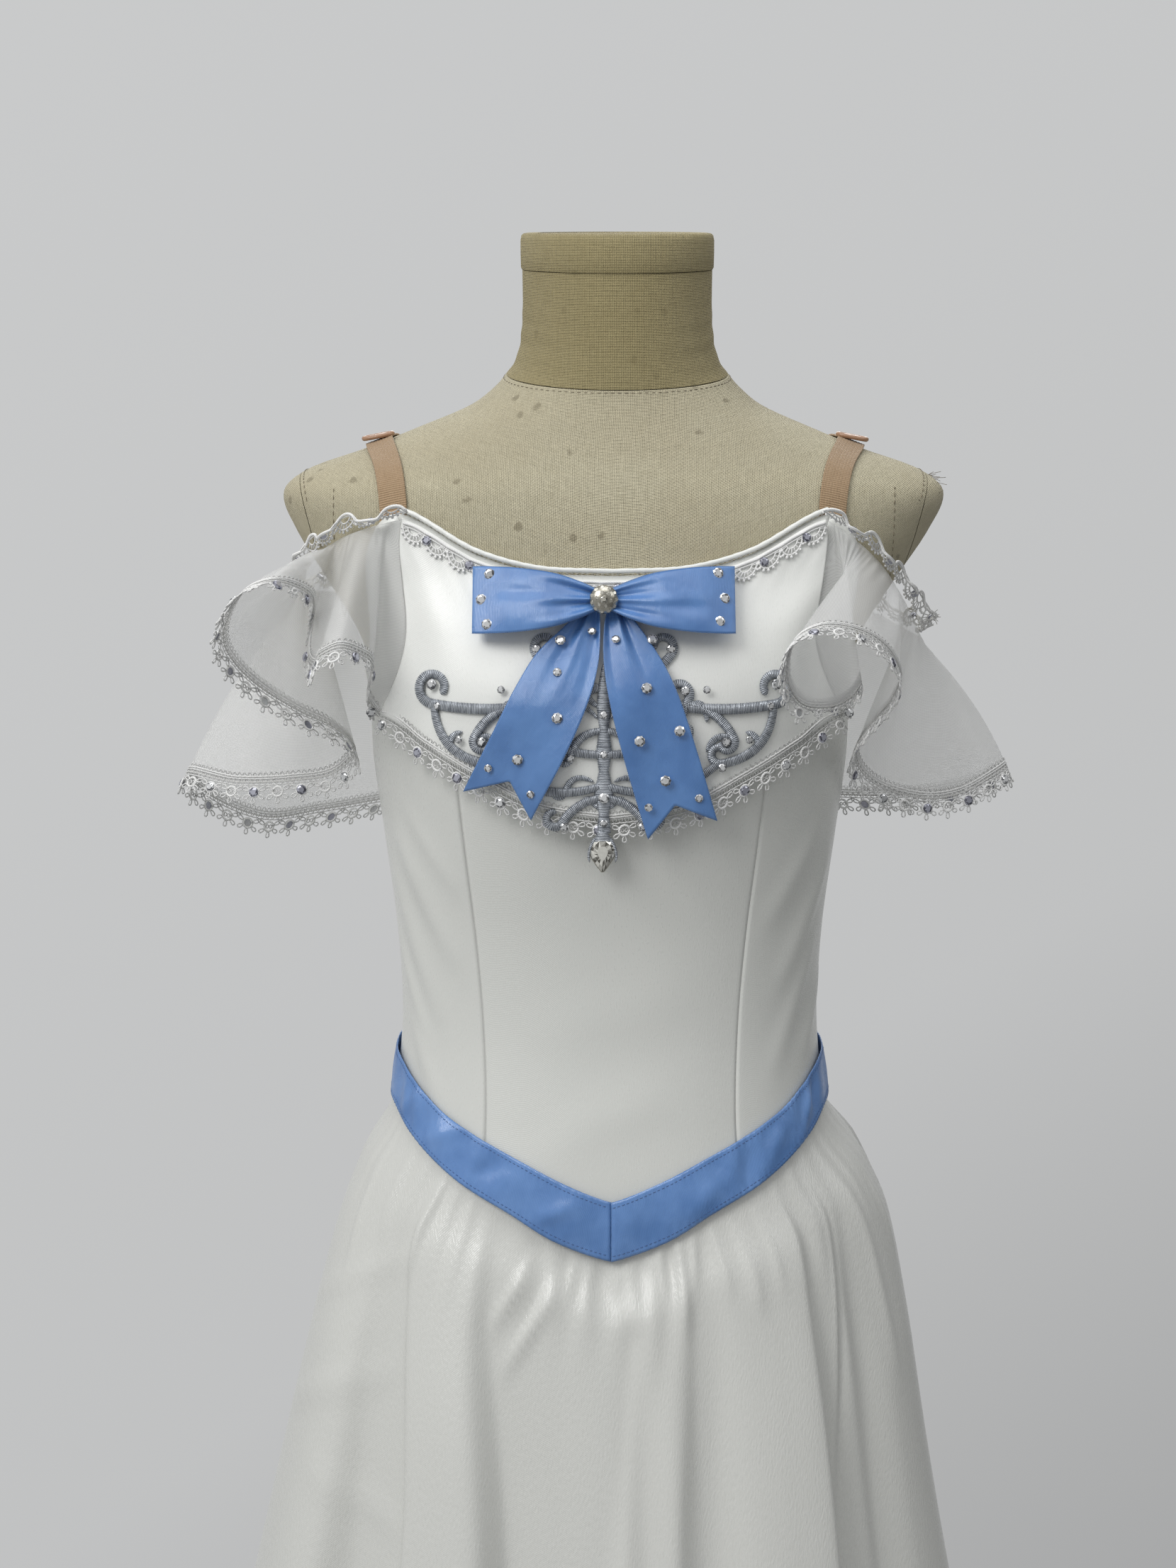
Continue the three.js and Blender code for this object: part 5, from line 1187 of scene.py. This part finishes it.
def hem_lace(name, strip, node, shrink=None):
    """Guipure edging: a corded heading with picots, a ladder, and a row of five-petalled flowers."""
    piece = Piece()
    long = strip.length
    s = np.linspace(0.8, long - 0.8, int(long / 1.3))
    for t, r in ((-3.0, 0.5), (-1.7, 0.4), (1.6, 0.34)):
        wobble = 0.12 * np.sin(s * 1.9 + t)
        strip.threads(piece, s, t + wobble, r, 4, lift=0.45 if t < 0 else 0.1)
    count = int((long - 4) / 3.1)
    at = 2 + (np.arange(count) + 0.5) * (long - 4) / count
    a = np.linspace(0, np.pi, 6)
    strip.threads(piece, at[:, None] + 1.25 * np.cos(a), -3.0 - 2.2 * np.sin(a), 0.26, 3, lift=0.3)
    zig = np.array([-1.3, -0.9, 0.0, 0.9, 1.3])
    strip.threads(piece, at[:, None] + zig, np.array([-1.7, 0.2, 1.6, 0.2, -1.7]), 0.27, 3, lift=0.15)
    flowers = max(2, int(round((long - 10) / 12.6)))
    mid = 6.5 + np.arange(flowers) * (long - 13) / (flowers - 1)
    size = np.ones(flowers) if shrink is None else shrink(mid / long)
    deep = 5.6 * size
    turn = np.linspace(0, 2 * np.pi, 13)[:-1]
    sx = size[:, None]
    ring_s, ring_t = mid[:, None] + 2.7 * sx * np.cos(turn), deep[:, None] + 2.7 * sx * np.sin(turn)
    strip.threads(piece, ring_s, ring_t, 0.68, 5, True, lift=0.25)
    plain = np.arange(flowers) % 2 == 1
    small = np.linspace(0, 2 * np.pi, 8)[:-1]
    for shift in (-0.95, 0.95):
        small_s, small_t = mid[plain, None] + shift + 0.75 * np.cos(small), deep[plain, None] + np.sin(small)
        strip.threads(piece, small_s, small_t, 0.36, 3, True, lift=0.25)
    for k, lean in enumerate((-118, -62, -6, 50, 106)):
        c, d = math.sin(math.radians(lean + 6)), math.cos(math.radians(lean + 6))
        wave = np.linspace(0, 2 * np.pi, 11)[:-1]
        radial = 4.75 + 1.75 * np.cos(wave)
        across = 1.3 * np.sin(wave) * (0.75 + 0.25 * np.cos(wave))
        petal_s, petal_t = radial * c + across * d, radial * d - across * c
        strip.threads(piece, mid[:, None] + sx * petal_s, deep[:, None] + sx * petal_t, 0.4, 4, True,
                      lift=0.2 + 0.15 * ((k % 2) - 0.5))
    link = (mid[:-1] + mid[1:]) / 2
    link_s, link_t = link[:, None] + np.array([-2.6, -1.0, 1.0, 2.6]), np.array([3.2, 2.2, 2.2, 3.2])
    strip.threads(piece, link_s, link_t, 0.34, 3)
    piece.make(name, LACE, [node])
    p, n = strip.at(mid[~plain], deep[~plain], 0.5)
    for k in range(len(p)):
        stone(grey_stones if k % 3 else stones, p[k], n[k], 2.8, rng.uniform(0, 1))


def fan_lace(name, strip, node, outer, picots, stone_every=0.0, lift=0.0, scallop=0.3):
    """Scalloped lace: a corded heading, and fans of short bars that end in small picots."""
    piece = Piece()
    long = strip.length
    count = max(2, int(round(long / 13.5)))
    mid = (np.arange(count) + 0.5) * long / count
    half = long / count / 2
    s = np.linspace(0.3, long - 0.3, int(long / 1.2))
    way = 1 if outer > picots else -1
    dip = scallop * (1 - np.abs(np.sin(s / half * np.pi / 2)))
    strip.threads(piece, s, outer - way * dip, 0.75, 6, lift=lift)
    strip.threads(piece, s, outer - way * 1.7, 0.42, 4, lift=lift)
    a = np.linspace(0.06, np.pi - 0.06, 12)
    high = abs(outer - picots)

    def fan(scale, turn, radius, sides):
        deep = outer - way * (1.5 + (high - 3.4) * scale * np.sin(turn))
        strip.threads(piece, mid[:, None] - half * scale * np.cos(turn), deep, radius, sides, lift=lift)
    for scale, r in ((0.93, 0.55), (0.5, 0.45)):
        fan(scale, a, r, 4)
    for bar in np.linspace(0.22, np.pi - 0.22, 8):
        fan(np.array([0.5, 0.93]), bar, 0.36, 4)
        fan(np.array([0.95, 1.06, 1.14, 1.2]), bar, np.array([0.4, 0.75, 0.8, 0.35])[None], 5)
    piece.make(name, LACE, [node])
    if stone_every:
        at = np.arange(stone_every * 0.6, long - 4, stone_every)
        p, n = strip.at(at, outer - way * 3.6, lift + 0.4)
        for k in range(len(p)):
            stone(grey_stones, p[k], n[k], 2.5, rng.uniform(0, 1))


def strip_along(line, way, side=1):
    """A strip along a line on the cloth, whose lace goes the given way."""
    return Strip(line, way, unit(np.cross(way, np.gradient(line, axis=0))) * side)


for back, word in HALVES:
    u = np.linspace(0.005, 0.995, 900)
    top, below, above, hem = (bertha_point(turned(bertha_angle(u, v, back)), v + 0 * u, CLOTH)
                              for v in (0.012, 0.1, 0.93, 1.0))
    hem_lace(f"lace_hem_{word}_guipure", strip_along(hem, unit(hem - above)), f"lace_hem_{word}")
    fan_lace(f"lace_top_{word}_guipure", strip_along(top, unit(below - top)), f"lace_top_{word}", 0.2, 10.4,
             27 if back else 26, lift=1.0, scallop=0.4)

# Stretches of each sleeve's hem, deep in a fold, where the flowers are smaller: start, end, size
VALLEYS = {-1: ((0.0, 0.09, 0.6), (0.2, 0.345, 0.72)), 1: ((0.02, 0.13, 0.5),)}
for side, word in SIDES:
    u = np.linspace(0.002, 0.998, 1500)
    top, above, hem = sleeve_grid(side, u, np.array([0.0, 0.93, 1.0]))

    def shrink(share, side=side):
        size = np.ones_like(share)
        for a, b, k in VALLEYS[side]:
            size = np.where((share > a - 0.02) & (share < b + 0.02), k, size)
        return size
    strip = strip_along(hem, unit(hem - above), side)
    hem_lace(f"lace_hem_{word}_guipure", strip, f"lace_hem_{word}", shrink)
    flat = unit(stack(top[:, 0] - side * ARM_MIDDLE, top[:, 1], 0)) * 0.85
    way = unit(flat + stack(0 * u, 0 * u, lerp(0.25, 0.75, smooth(u, 0, 0.3))))
    normal = unit(np.cross(way, unit(np.gradient(top, axis=0)))) * side
    ruffle = np.tanh(2 * np.sin(run_of(top) / 13.5 * np.pi))
    way = unit(way + normal * (0.3 * ruffle)[:, None])
    strip = Strip(top + normal * 0.8, way, normal)
    fan_lace(f"lace_top_{word}_guipure", strip, f"lace_top_{word}", 12.6, 1.0, 30, lift=0.0, scallop=3.2)

# Straps of ribbed elastic with oval sliders
STRAP_WIDTH = 14
SLIDER_TURN = 85
# Distance of each strap from the middle at its front, top and back
STRAPS = {-1: (114, 127, 112), 1: (116, 133, 113)}


def strap_point(side, turn, across, out):
    """A point of a strap at a turn over the shoulder, from 0 at the front to 180 at the back."""
    front, top, back = STRAPS[side]
    half = turn < 90
    share = np.clip(np.where(half, (turn - 42.6) / (90 - 42.6), (160 - turn) / 70), 0, 1)
    middle = lerp(np.where(half, front, back), top, smooth(share, 0, 1) * 0.6 + share * 0.4)
    return shoulder_point(side * (middle + across), turn, out)


# Each run of a strap: its turns over the shoulder, the rows of its mesh and its cut length in m
STRAP_RUNS = [("strap_front", 38.5, SLIDER_TURN - 0.2, 60, 0.072),
              ("strap_back", SLIDER_TURN + 0.2, 163, 90, 0.141)]
for side, word in SIDES:
    for run, a0, a1, rows, length in STRAP_RUNS:
        along, share = share_grid(rows, 25)
        across = (share - 0.5) * STRAP_WIDTH
        rib = 0.12 * np.cos(share * 2 * np.pi * 9)
        rise = 1.3 * np.exp(-((lerp(a0, a1, along) - SLIDER_TURN) / 5.5) ** 2)
        grid = strap_point(side, lerp(a0, a1, along), across, 1.75 + rib + rise)
        cloth(f"{run}_{word}_elastic", grid, 0.9, ELASTIC_LOOK, [f"{run}_{word}"],
              flip=side > 0)
    seat = strap_point(side, np.array(float(SLIDER_TURN)), 0.0, 3.6)
    turns = np.array([SLIDER_TURN - 3.0, SLIDER_TURN + 3.0, SLIDER_TURN, SLIDER_TURN])
    behind, front, low, high = strap_point(side, turns, np.array([0.0, 0.0, -6.0, 6.0]), 3.0)
    ahead = front - behind
    across = unit((high - low) * side * np.array([1, 1, 0.5]))
    ahead = unit(ahead - across * np.dot(ahead, across))
    up = np.cross(across, ahead)
    t = np.linspace(0, 2 * np.pi, 49)[:-1]
    oval = Piece()
    line = seat + np.cos(t)[:, None] * across * 7.9 + np.sin(t)[:, None] * ahead * 3.9 + up * 1.2
    tubes(oval, line[None], np.broadcast_to(up, line.shape)[None], 1.25 + 0.1 * np.cos(2 * t)[None], 10, True)
    for shift in (-1.2, 1.2):
        bar = np.linspace(-7.4, 7.4, 9)[:, None] * across + seat + ahead * shift * 0.3 + up * 1.0
        tubes(oval, bar[None], np.broadcast_to(up, bar.shape)[None], 1.0, 8)
    bed = np.linspace(0, 1, 5)[:, None, None]
    plate = (np.cos(t)[:, None] * across * 8.0 + np.sin(t)[:, None] * ahead * 4.0)[None]
    dome = seat + plate * (1 - 0.995 * bed) + up * (1.6 + 0.9 * np.sqrt(bed))
    cover = np.concatenate([seat + plate + up * 0.2, dome])[:, ::-1]
    oval.add(cover, [quads(6, 48, True), *(face[:, ::-1] for face in ring_ends(6, 48))])
    oval.make(f"slider_{word}_oval", PLASTIC, [f"slider_{word}"])

# Bow of flat satin ribbon
# One loop of the bow along its ribbon: reach from the knot, height off the flounce, half width
LOOP = table("at reach off half", [
    (0, 4, 12, 5.5), (1, 12, 14, 9), (2, 26, 14.5, 13.5), (3, 44, 13, 16.2), (4, 60, 11, 17),
    (5, 66, 9.3, 17), (6, 66, 7.2, 17), (7, 58, 6.2, 17), (8, 38, 6, 15.5), (9, 18, 6.6, 11),
    (10, 4, 8, 5.5)])

blue_picots = Piece()
for side, word in SIDES:
    drop, share = share_grid(30, 110)
    at = share * 10
    reach, off, half = (column(LOOP, "at", k, at) for k in ("reach", "off", "half"))
    across = lerp(1.0, -1.0, drop)
    near = smooth(reach, 44, 4)
    front = smooth(at, 5.6, 4.8)
    pleat = near * (1.5 * np.cos(across * 7.5 + 0.6 * side) + 0.6 * np.cos(across * 15)) * (0.4 + 0.6 * front)
    swell = 3.4 * front * smooth(reach, 10, 34) * smooth(reach, 66, 48) * np.cos(across * 1.5)
    dent = 1.5 * front * np.exp(-((across + 0.25 * side) / 0.22) ** 2)
    dent = dent * smooth(reach, 20, 40) * smooth(reach, 60, 44)
    z = BOW_HEIGHT + half * across * (1 - 0.03 * near * np.cos(across * 9))
    grid = bust_point(DRESS_CENTER + side * reach, z, off + pleat + swell - dent + 0.4)
    cloth(f"bow_loop_{word}_ribbon", grid, 0.35, BLUE, [f"bow_loop_{word}"],
          flip=side < 0)
    n = normals_of(grid) * (1 if side < 0 else -1)
    for row in (0, -1):
        stitches(blue_picots, grid[row], n[row], 1.1, 0.2, 0.55, lift=-0.15)

# Each tail: its table, its fall at the notched end, and its lean
TAILS = {
    -1: (table("fall shift half off", [
        (3, -6, 3.4, 4.4), (12, -10, 8, 4.6), (28, -17, 14, 4.9), (50, -27, 17, 5.4), (76, -39.5, 17.6, 6.2),
        (98, -51, 17.4, 7)]), 98, 0.4),
    1: (table("fall shift half off", [
        (3, 6, 3.4, 4.4), (12, 8.5, 8, 4.7), (28, 13, 13, 5), (50, 20, 16.5, 5.5), (80, 29, 17.6, 6.4),
        (110, 38, 17.6, 7.4)]), 110, 0.26)}
for side, word in SIDES:
    tab, last, lean = TAILS[side]
    along, share = share_grid(64, 40)
    across = (share - 0.5) * 2
    fall = lerp(3.0, last + 13 * (np.abs(across) - 0.5), along)
    key = np.minimum(fall, last)
    shift, half, off = (column(tab, "fall", k, key) for k in ("shift", "half", "off"))
    shift = shift + np.maximum(fall - last, 0) * (-0.5 if side < 0 else 0.3)
    near = smooth(fall, 58, 3)
    pleat = near * (1.5 * np.cos(across * 6.3 + side) + 0.5 * np.cos(across * 12))
    bend = (1.3 * np.sin(fall / 21 + side) + 0.8 * np.sin(across * 2.2 + fall / 16)) * smooth(fall, 30, 60)
    z = BOW_HEIGHT - (fall - side * across * half * lean * smooth(fall, 3, 40))
    grid = bust_point(DRESS_CENTER + shift + across * half, z, off + pleat + bend + 0.4)
    cloth(f"bow_tail_{word}_ribbon", grid, 0.35, BLUE, [f"bow_tail_{word}"])
    n = -normals_of(grid)
    for k in (0, -1):
        stitches(blue_picots, grid[:, k], n[:, k], 1.1, 0.2, 0.55, lift=-0.15)
knot = bust_point(DRESS_CENTER, BOW_HEIGHT, 3.2)
PICOT_THREAD = thread_look("light_blue_selvedge_thread", (0.30, 0.47, 0.80), (0.16, 0.30, 0.62), 0.5)
blue_picots.make("bow_ribbon_selvedge", PICOT_THREAD)

# Cluster brooch
brooch = Piece()
radius, ahead = np.array([
    (0.1, 0), (2.4, 0), (2.4, 11.8), (6.9, 11.8), (7.2, 12.3), (7.2, 13.0), (6.6, 13.8), (5.0, 15.2),
    (2.6, 16.2), (0.1, 16.4)]).T[..., None]
turn = np.linspace(0, 2 * np.pi, 41)[:-1]
grid = stack(radius * np.sin(turn), -ahead, -radius * np.cos(turn)) + knot
brooch.add(grid, [quads(len(grid), 40, True), *ring_ends(len(grid), 40)])
brooch.make("bow_brooch_setting", SETTING, ["bow_brooch"])
for count, r, h, size in ((1, 0, 16.3, 2.0), (6, 3.3, 15.2, 1.65), (11, 6.0, 13.6, 1.55)):
    for k in range(count):
        a = k / count * 2 * math.pi + 0.3 * count
        n = unit(np.array([math.sin(a) * r * 0.12, -1, math.cos(a) * r * 0.12]))
        c = knot + np.array([math.sin(a) * r, -h, math.cos(a) * r])
        stone(warm_stones, c, n, size, a)

# Corded scrollwork of satin stitch, each stroke mirrored: ends, bow, end curl, width
SCROLLS = [
    (2, 1114, 88, 1105, -6, 8.5, 310, 5), (40, 1106, 66, 1088, 4, 4.6, -230, 4.4),
    (87, 1104.5, 60, 1075, 8, 5, -220, 4.6), (1, 1080, 43, 1108, -9, 6, 240, 4.8),
    (1, 1064, 60, 1077, -9, 0, 0, 4.6), (0, 1058, 21, 1045, 3, 4.8, 270, 4.4),
    (2, 1114, 34, 1130, -4, 6, 250, 4.4), (1, 1092, 17, 1078, 4, 3.6, 160, 4)]
SPINE = [(1126, 0.8), (1112, 2.8), (1100, 3.8), (1092, 2.4), (1080, 4), (1070, 2.6), (1058, 5), (1047, 2.6),
         (1038.6, 4)]


def stroke_line(x0, z0, x1, z1, bow, curl, turn):
    """A stroke from end to end with a bow, and a curl of so many degrees at its end."""
    start, end = np.array([x0, z0], float), np.array([x1, z1], float)
    way = unit(end - start)
    length = np.linalg.norm(end - start)
    left = np.array([-way[1], way[0]])
    t = np.linspace(0, 1, max(6, int(length / 2)))[:, None]
    line = list(start + (end - start) * t + left * bow * 4 * t * (1 - t))
    if curl:
        heading = math.atan2(*(way * length - left * 4 * bow)[::-1])
        steps = max(12, int(abs(turn) / 9))
        rough = max(4, round(abs(turn) / 58))
        at = end.copy()
        for i in range(steps):
            radius = curl * (1 - 0.5 * i / steps * (1 - 1 / rough))
            step = math.radians(turn / steps)
            heading += step / 2
            at = at + np.array([math.cos(heading), math.sin(heading)]) * 2 * radius * math.sin(abs(step) / 2)
            heading += step / 2
            line.append(at)
    return np.array(line)


def satin_cord(piece, line, half, height=2.3, foot=0.55):
    """A raised cord of domed section along a line x, z on the bust."""
    run = run_of(line)
    long = run[-1]
    at = np.linspace(0, long, max(6, int(long / 0.75)))
    line = read_at(line, run, at)
    way = unit(np.gradient(line, axis=0))
    left = np.stack([-way[:, 1], way[:, 0]], -1)
    half = half(at / long) * (1 + 0.035 * np.sin(at * 4.7))
    ends = np.sqrt(np.clip(np.minimum(at, long - at) / 1.6, 0.05, 1))
    a = np.linspace(0, np.pi, 9)
    across = np.concatenate([np.cos(a), [-0.4, 0.4]])
    rise = np.concatenate([0.12 + 0.88 * np.sin(a) ** 0.75, [0, 0]])
    x = line[:, :1] + left[:, :1] * across * (half * ends)[:, None]
    z = line[:, 1:] + left[:, 1:] * across * (half * ends)[:, None]
    grid = bust_point(DRESS_CENTER + x, z, foot + rise * height * ends[:, None])
    m = len(across)
    uv = np.stack(np.broadcast_arrays(at[:, None], across * 3), -1)
    piece.add(grid, [quads(len(at), m, True)[:, ::-1], *ring_ends(len(at), m)], uv)


scroll = Piece()
spine = np.array([(0.0, z) for z, _ in SPINE])
spine_half = np.array([h for _, h in SPINE])
satin_cord(scroll, spine, lambda t: np.interp(t, np.linspace(0, 1, len(SPINE)), spine_half))
# Flat satin stitch between the cords: ends, bow, end curl, width
LEAVES = [
    (3, 1104, 13, 1122, -2.5, 0, 0, 3.4), (3, 1098, 26, 1098, 7, 4, 200, 3.0),
    (5, 1066, 20, 1060, 5, 3.4, 210, 2.8), (46, 1107, 52, 1096, 2.5, 0, 0, 3.2),
    (66, 1088, 52, 1081, -4, 0, 0, 3.0), (72, 1091, 79, 1082, 2.5, 0, 0, 3.0),
    (3, 1052, 11, 1057, 2, 0, 0, 3.4), (28, 1126, 22, 1116, 3, 0, 0, 3.0),
    (36, 1085, 44, 1092, -3, 2.6, 180, 2.6)]


def stroke_cords(rows, ends, swell, power=1.0, height=2.3):
    """Each stroke as a cord and its mirror image: its width at the ends and how it swells between them."""
    for *stroke, wide in rows:
        line = stroke_line(*stroke)

        def half(t, wide=wide):
            return wide / 2 * (ends + swell * np.sin(np.pi * t) ** power)
        for side in (-1, 1):
            satin_cord(scroll, line * np.array([side, 1]), half, height)


stroke_cords(SCROLLS, 0.85, 0.25)
stroke_cords(LEAVES, 0.45, 0.75, 0.8, 1.2)
face_outward(scroll.make("applique_satin_stitch", SILVER, ["applique"]))

# Drop crystal with faceted front in its setting, its facets painted dark or bright at random as reflections
outline = table("down half", [(0, 2.4), (0.14, 5.2), (0.36, 6.5), (0.6, 5.4), (0.82, 2.9), (1, 0.5)])
down = np.concatenate([np.linspace(0, 1, 9), np.linspace(1, 0, 9)])
sign = np.concatenate([np.ones(9), -np.ones(9)])
drop_piece = Piece()
rings = []
for off, scale in ((0.6, 0.86), (1.6, 1.0), (2.2, 1.0), (3.9, 0.72), (4.8, 0.42)):
    z = 1037.8 - 18 * (0.45 + (down - 0.45) * scale)
    x = DRESS_CENTER - 0.6 + sign * column(outline, "down", "half", down) * scale
    rings.append(bust_point(x, z, np.full_like(x, off)))
rings = np.stack(rings)
m = 18
j = np.arange(m)
k = (j + 1) % m
tri = []
for low in (m, 2 * m, 3 * m):
    high = low + m
    tri += [np.stack([low + j, low + k, high + j], -1), np.stack([low + k, high + k, high + j], -1)]
tri = np.concatenate(tri)
tones = rng.choice([0.05, 0.3, 0.55, 0.9, 1.0], len(tri))
drop_piece.add(rings, [np.stack([j, k, k + m, j + m], -1), tri, (4 * m + j)[None], j[None, ::-1]], None,
               [np.full(m, 0.2), tones, np.array([0.9]), np.array([0.2])])
drop = drop_piece.make("crystal_drop_faceted", CRYSTAL_WARM, ["crystal_drop"], flat=True)
face_outward(drop)
rim = rings[1]
claws = Piece()
fine = np.concatenate([lerp(rim[i], rim[(i + 1) % m], np.linspace(0, 1, 4)[:-1, None]) for i in range(m)])
tubes(claws, fine[None], np.broadcast_to(np.array([0.0, -1, 0]), fine.shape)[None], 0.45, 6, True)
claws.make("crystal_drop_setting", SETTING)
cap = Piece()
satin_cord(cap, np.array([(-0.6, 1041.5), (-0.6, 1036), (-0.6, 1031)]), lambda t: 2.2 + 4.2 * t, 2.6, 1.2)
for side in (-1, 1):
    t = np.linspace(0, 1, 12)
    arm = np.stack([-0.6 + side * (3.4 + 3.6 * np.sin(t * 2.1)), 1037.5 - 13 * t], -1)
    satin_cord(cap, arm, lambda t: 1.15 - 0.5 * t, 2.2, 0.8)
cap.make("crystal_drop_cap", SILVER)

# Stones on the bow and on the scrollwork: x, z, radius
BOW_STONES = [
    (-62, 1171, 2.9), (-66, 1158, 3.0), (-63, 1145.5, 2.9), (54, 1171.5, 2.9), (57, 1158.5, 3.0),
    (54.5, 1147, 2.8)]
for x, z, r in BOW_STONES:
    side = -1 if x < 0 else 1
    reach = abs(x - DRESS_CENTER)
    off = float(column(LOOP, "at", "off", np.interp(reach, [44, 60, 66], [3, 4, 5])))
    c = bust_point(x, z, off + 0.9)
    stone(stones, c, [side * 0.12, -1, 0.05], r, x)
TAIL_STONES = {-1: [(-10, 1142, 2.3), (-26, 1137.5, 2.9), (-27.5, 1121.5, 2.3), (-49, 1104.5, 2.9),
                    (-27.5, 1098.5, 2.9), (-47.5, 1077.5, 2.9), (-62.5, 1073, 2.1), (-41, 1060, 2.1)],
               1: [(2, 1138, 2.3), (20.5, 1138, 2.9), (17.5, 1113.5, 2.9), (34, 1092, 2.9), (14, 1087, 2.9),
                   (27, 1067, 2.9), (18.5, 1053.5, 2.2), (44, 1058, 2.2)]}
for side, rows in TAIL_STONES.items():
    tab = TAILS[side][0]
    for x, z, r in rows:
        off = float(column(tab, "fall", "off", BOW_HEIGHT - z))
        near = float(smooth(BOW_HEIGHT - z, 46, 3))
        c = bust_point(x, z, off + 1.1 + near)
        above = bust_point(x, z + 3, off + 1.1)
        tilt = unit(np.cross(np.array([1.0, 0, 0]), above - c))
        stone(stones, c, tilt if tilt[1] < 0 else -tilt, r, x)
SCROLL_STONES = [
    (0, 1100, 2.3), (0, 1080, 2.1), (0, 1058, 2.9), (0, 1045, 2.1), (88, 1115, 2.9), (62, 1086, 2.5),
    (85, 1104, 2.1), (60, 1073, 2.3), (41, 1112, 2.5), (29, 1107, 2.1), (20, 1043, 2.5), (34, 1133, 2.5),
    (17, 1078, 2.1), (52, 1112.5, 2.1), (74, 1087, 2.1)]
for x, z, r in SCROLL_STONES:
    for side in ((-1, 1) if x else (1,)):
        p = bust_point(DRESS_CENTER + side * x, z, 2.5)
        beside = bust_point(DRESS_CENTER + side * x + 1, z, 2.5)
        tilt = unit(np.array([(beside - p)[1], -1, 0.05]))
        stone(stones, p, tilt, r, x)
stones.make("stones_clear", CRYSTAL, flat=True)
grey_stones.make("stones_smoky", CRYSTAL_GREY, flat=True)
warm_stones.make("stones_brooch", CRYSTAL_BROOCH, flat=True)
white_seams.make("dress_stitches", WHITE_THREAD)
blue_seams.make("belt_stitches", BLUE_THREAD)


# Floor, lights and camera
def plain(name, color, rough):
    look = Look(name)
    soft = look.noise(look.place, 0.004, 2)
    look.color(look.mix(soft, tuple(c * 0.97 for c in color), color))
    look.rough(look.range(soft, 0.3, 0.7, rough, rough * 0.95))
    return look.material


turn = np.linspace(0, 2 * np.pi, 97)[:-1]
rim = stack(1250 * np.cos(turn), 1250 * np.sin(turn), -0.5) * 0.001
disc_mesh = bpy.data.meshes.new("floor")
disc_mesh.from_pydata(rim.tolist(), [], [list(range(96))])
disc = bpy.data.objects.new("floor", disc_mesh)
bpy.context.scene.collection.objects.link(disc)
disc_mesh.materials.append(plain("pale_floor", (0.42, 0.42, 0.415), 0.7))

scene = bpy.context.scene
scene.view_settings.view_transform = "Standard"
scene.view_settings.look = "None"
world = bpy.data.worlds.new("studio")
scene.world = world
world.use_nodes = True
tree = world.node_tree
where = tree.nodes.new("ShaderNodeTexCoord").outputs["Generated"]


def along(way):
    n = tree.nodes.new("ShaderNodeVectorMath")
    n.operation = "DOT_PRODUCT"
    tree.links.new(where, n.inputs[0])
    n.inputs[1].default_value = way
    return n.outputs["Value"]


def ramp_of(value, low, high, stops):
    span = tree.nodes.new("ShaderNodeMapRange")
    span.inputs[1].default_value, span.inputs[2].default_value = low, high
    tree.links.new(value, span.inputs[0])
    ramp = tree.nodes.new("ShaderNodeValToRGB")
    tree.links.new(span.outputs[0], ramp.inputs[0])
    ends = ramp.color_ramp.elements
    ends[0].position, ends[1].position = stops[0][0], stops[-1][0]
    for position, _ in stops[1:-1]:
        ends.new(position)
    for element, (_, value) in zip(sorted(ends, key=lambda e: e.position), stops):
        element.color = (value * 0.985, value * 0.995, value, 1)
    return ramp.outputs[0]


# A pale wall behind the form, and a dimmer room that is brighter on the left
wall = ramp_of(along((-0.6, 0, 1)), -1, 1,
               [(0.0, 0.2), (0.21, 0.38), (0.37, 0.54), (0.54, 0.575), (0.75, 0.6)])
room = ramp_of(along((-0.8, -0.1, 0.6)), -1, 1, [(0.0, 0.10), (0.3, 0.27), (0.6, 0.38), (1.0, 0.5)])
blend = tree.nodes.new("ShaderNodeMix")
blend.data_type = "RGBA"
tree.links.new(ramp_of(along((0, 1, -0.07)), 0.66, 0.86, [(0.0, 0.0), (1.0, 1.0)]), blend.inputs[0])
tree.links.new(room, blend.inputs[6])
tree.links.new(wall, blend.inputs[7])
tree.links.new(blend.outputs[2], tree.nodes["Background"].inputs["Color"])
tree.nodes["Background"].inputs["Strength"].default_value = 1.0

# Lights, all aimed at the bust: name, place in m, side in m, power in W, colour
BUST = Vector((0, 0, 1.0))
LIGHTS = [
    ("key", (-1.35, -1.5, 2.5), 1.2, 28, (1.0, 0.995, 0.985)),
    ("top", (0.1, -0.6, 2.9), 1.2, 10, (1, 1, 1)),
    ("fill", (1.7, -1.1, 2.3), 0.9, 5, (0.985, 0.99, 1.0)),
    ("back", (0.2, 1.9, 2.3), 1.5, 15, (0.98, 0.99, 1.0))]
for name, place, side, power, color in LIGHTS:
    light = bpy.data.lights.new(name, "AREA")
    light.size = side
    light.energy = power
    light.color = color
    lamp = bpy.data.objects.new(name, light)
    lamp.location = place
    lamp.rotation_euler = (BUST - Vector(place)).to_track_quat("-Z", "Y").to_euler()
    scene.collection.objects.link(lamp)

# Camera 1.18 m ahead of the form, level with the bust and tilted down 4 degrees
camera_data = bpy.data.cameras.new("camera")
camera_data.sensor_width = 36
camera_data.lens = 48.82
camera = bpy.data.objects.new("camera", camera_data)
camera.location = (-0.012, -1.180, 1.140)
camera.rotation_euler = (math.radians(90 - 4), 0, 0)
scene.collection.objects.link(camera)
scene.camera = camera

for name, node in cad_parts.items():
    if not node.data.materials:
        node.data.materials.append(STEEL)
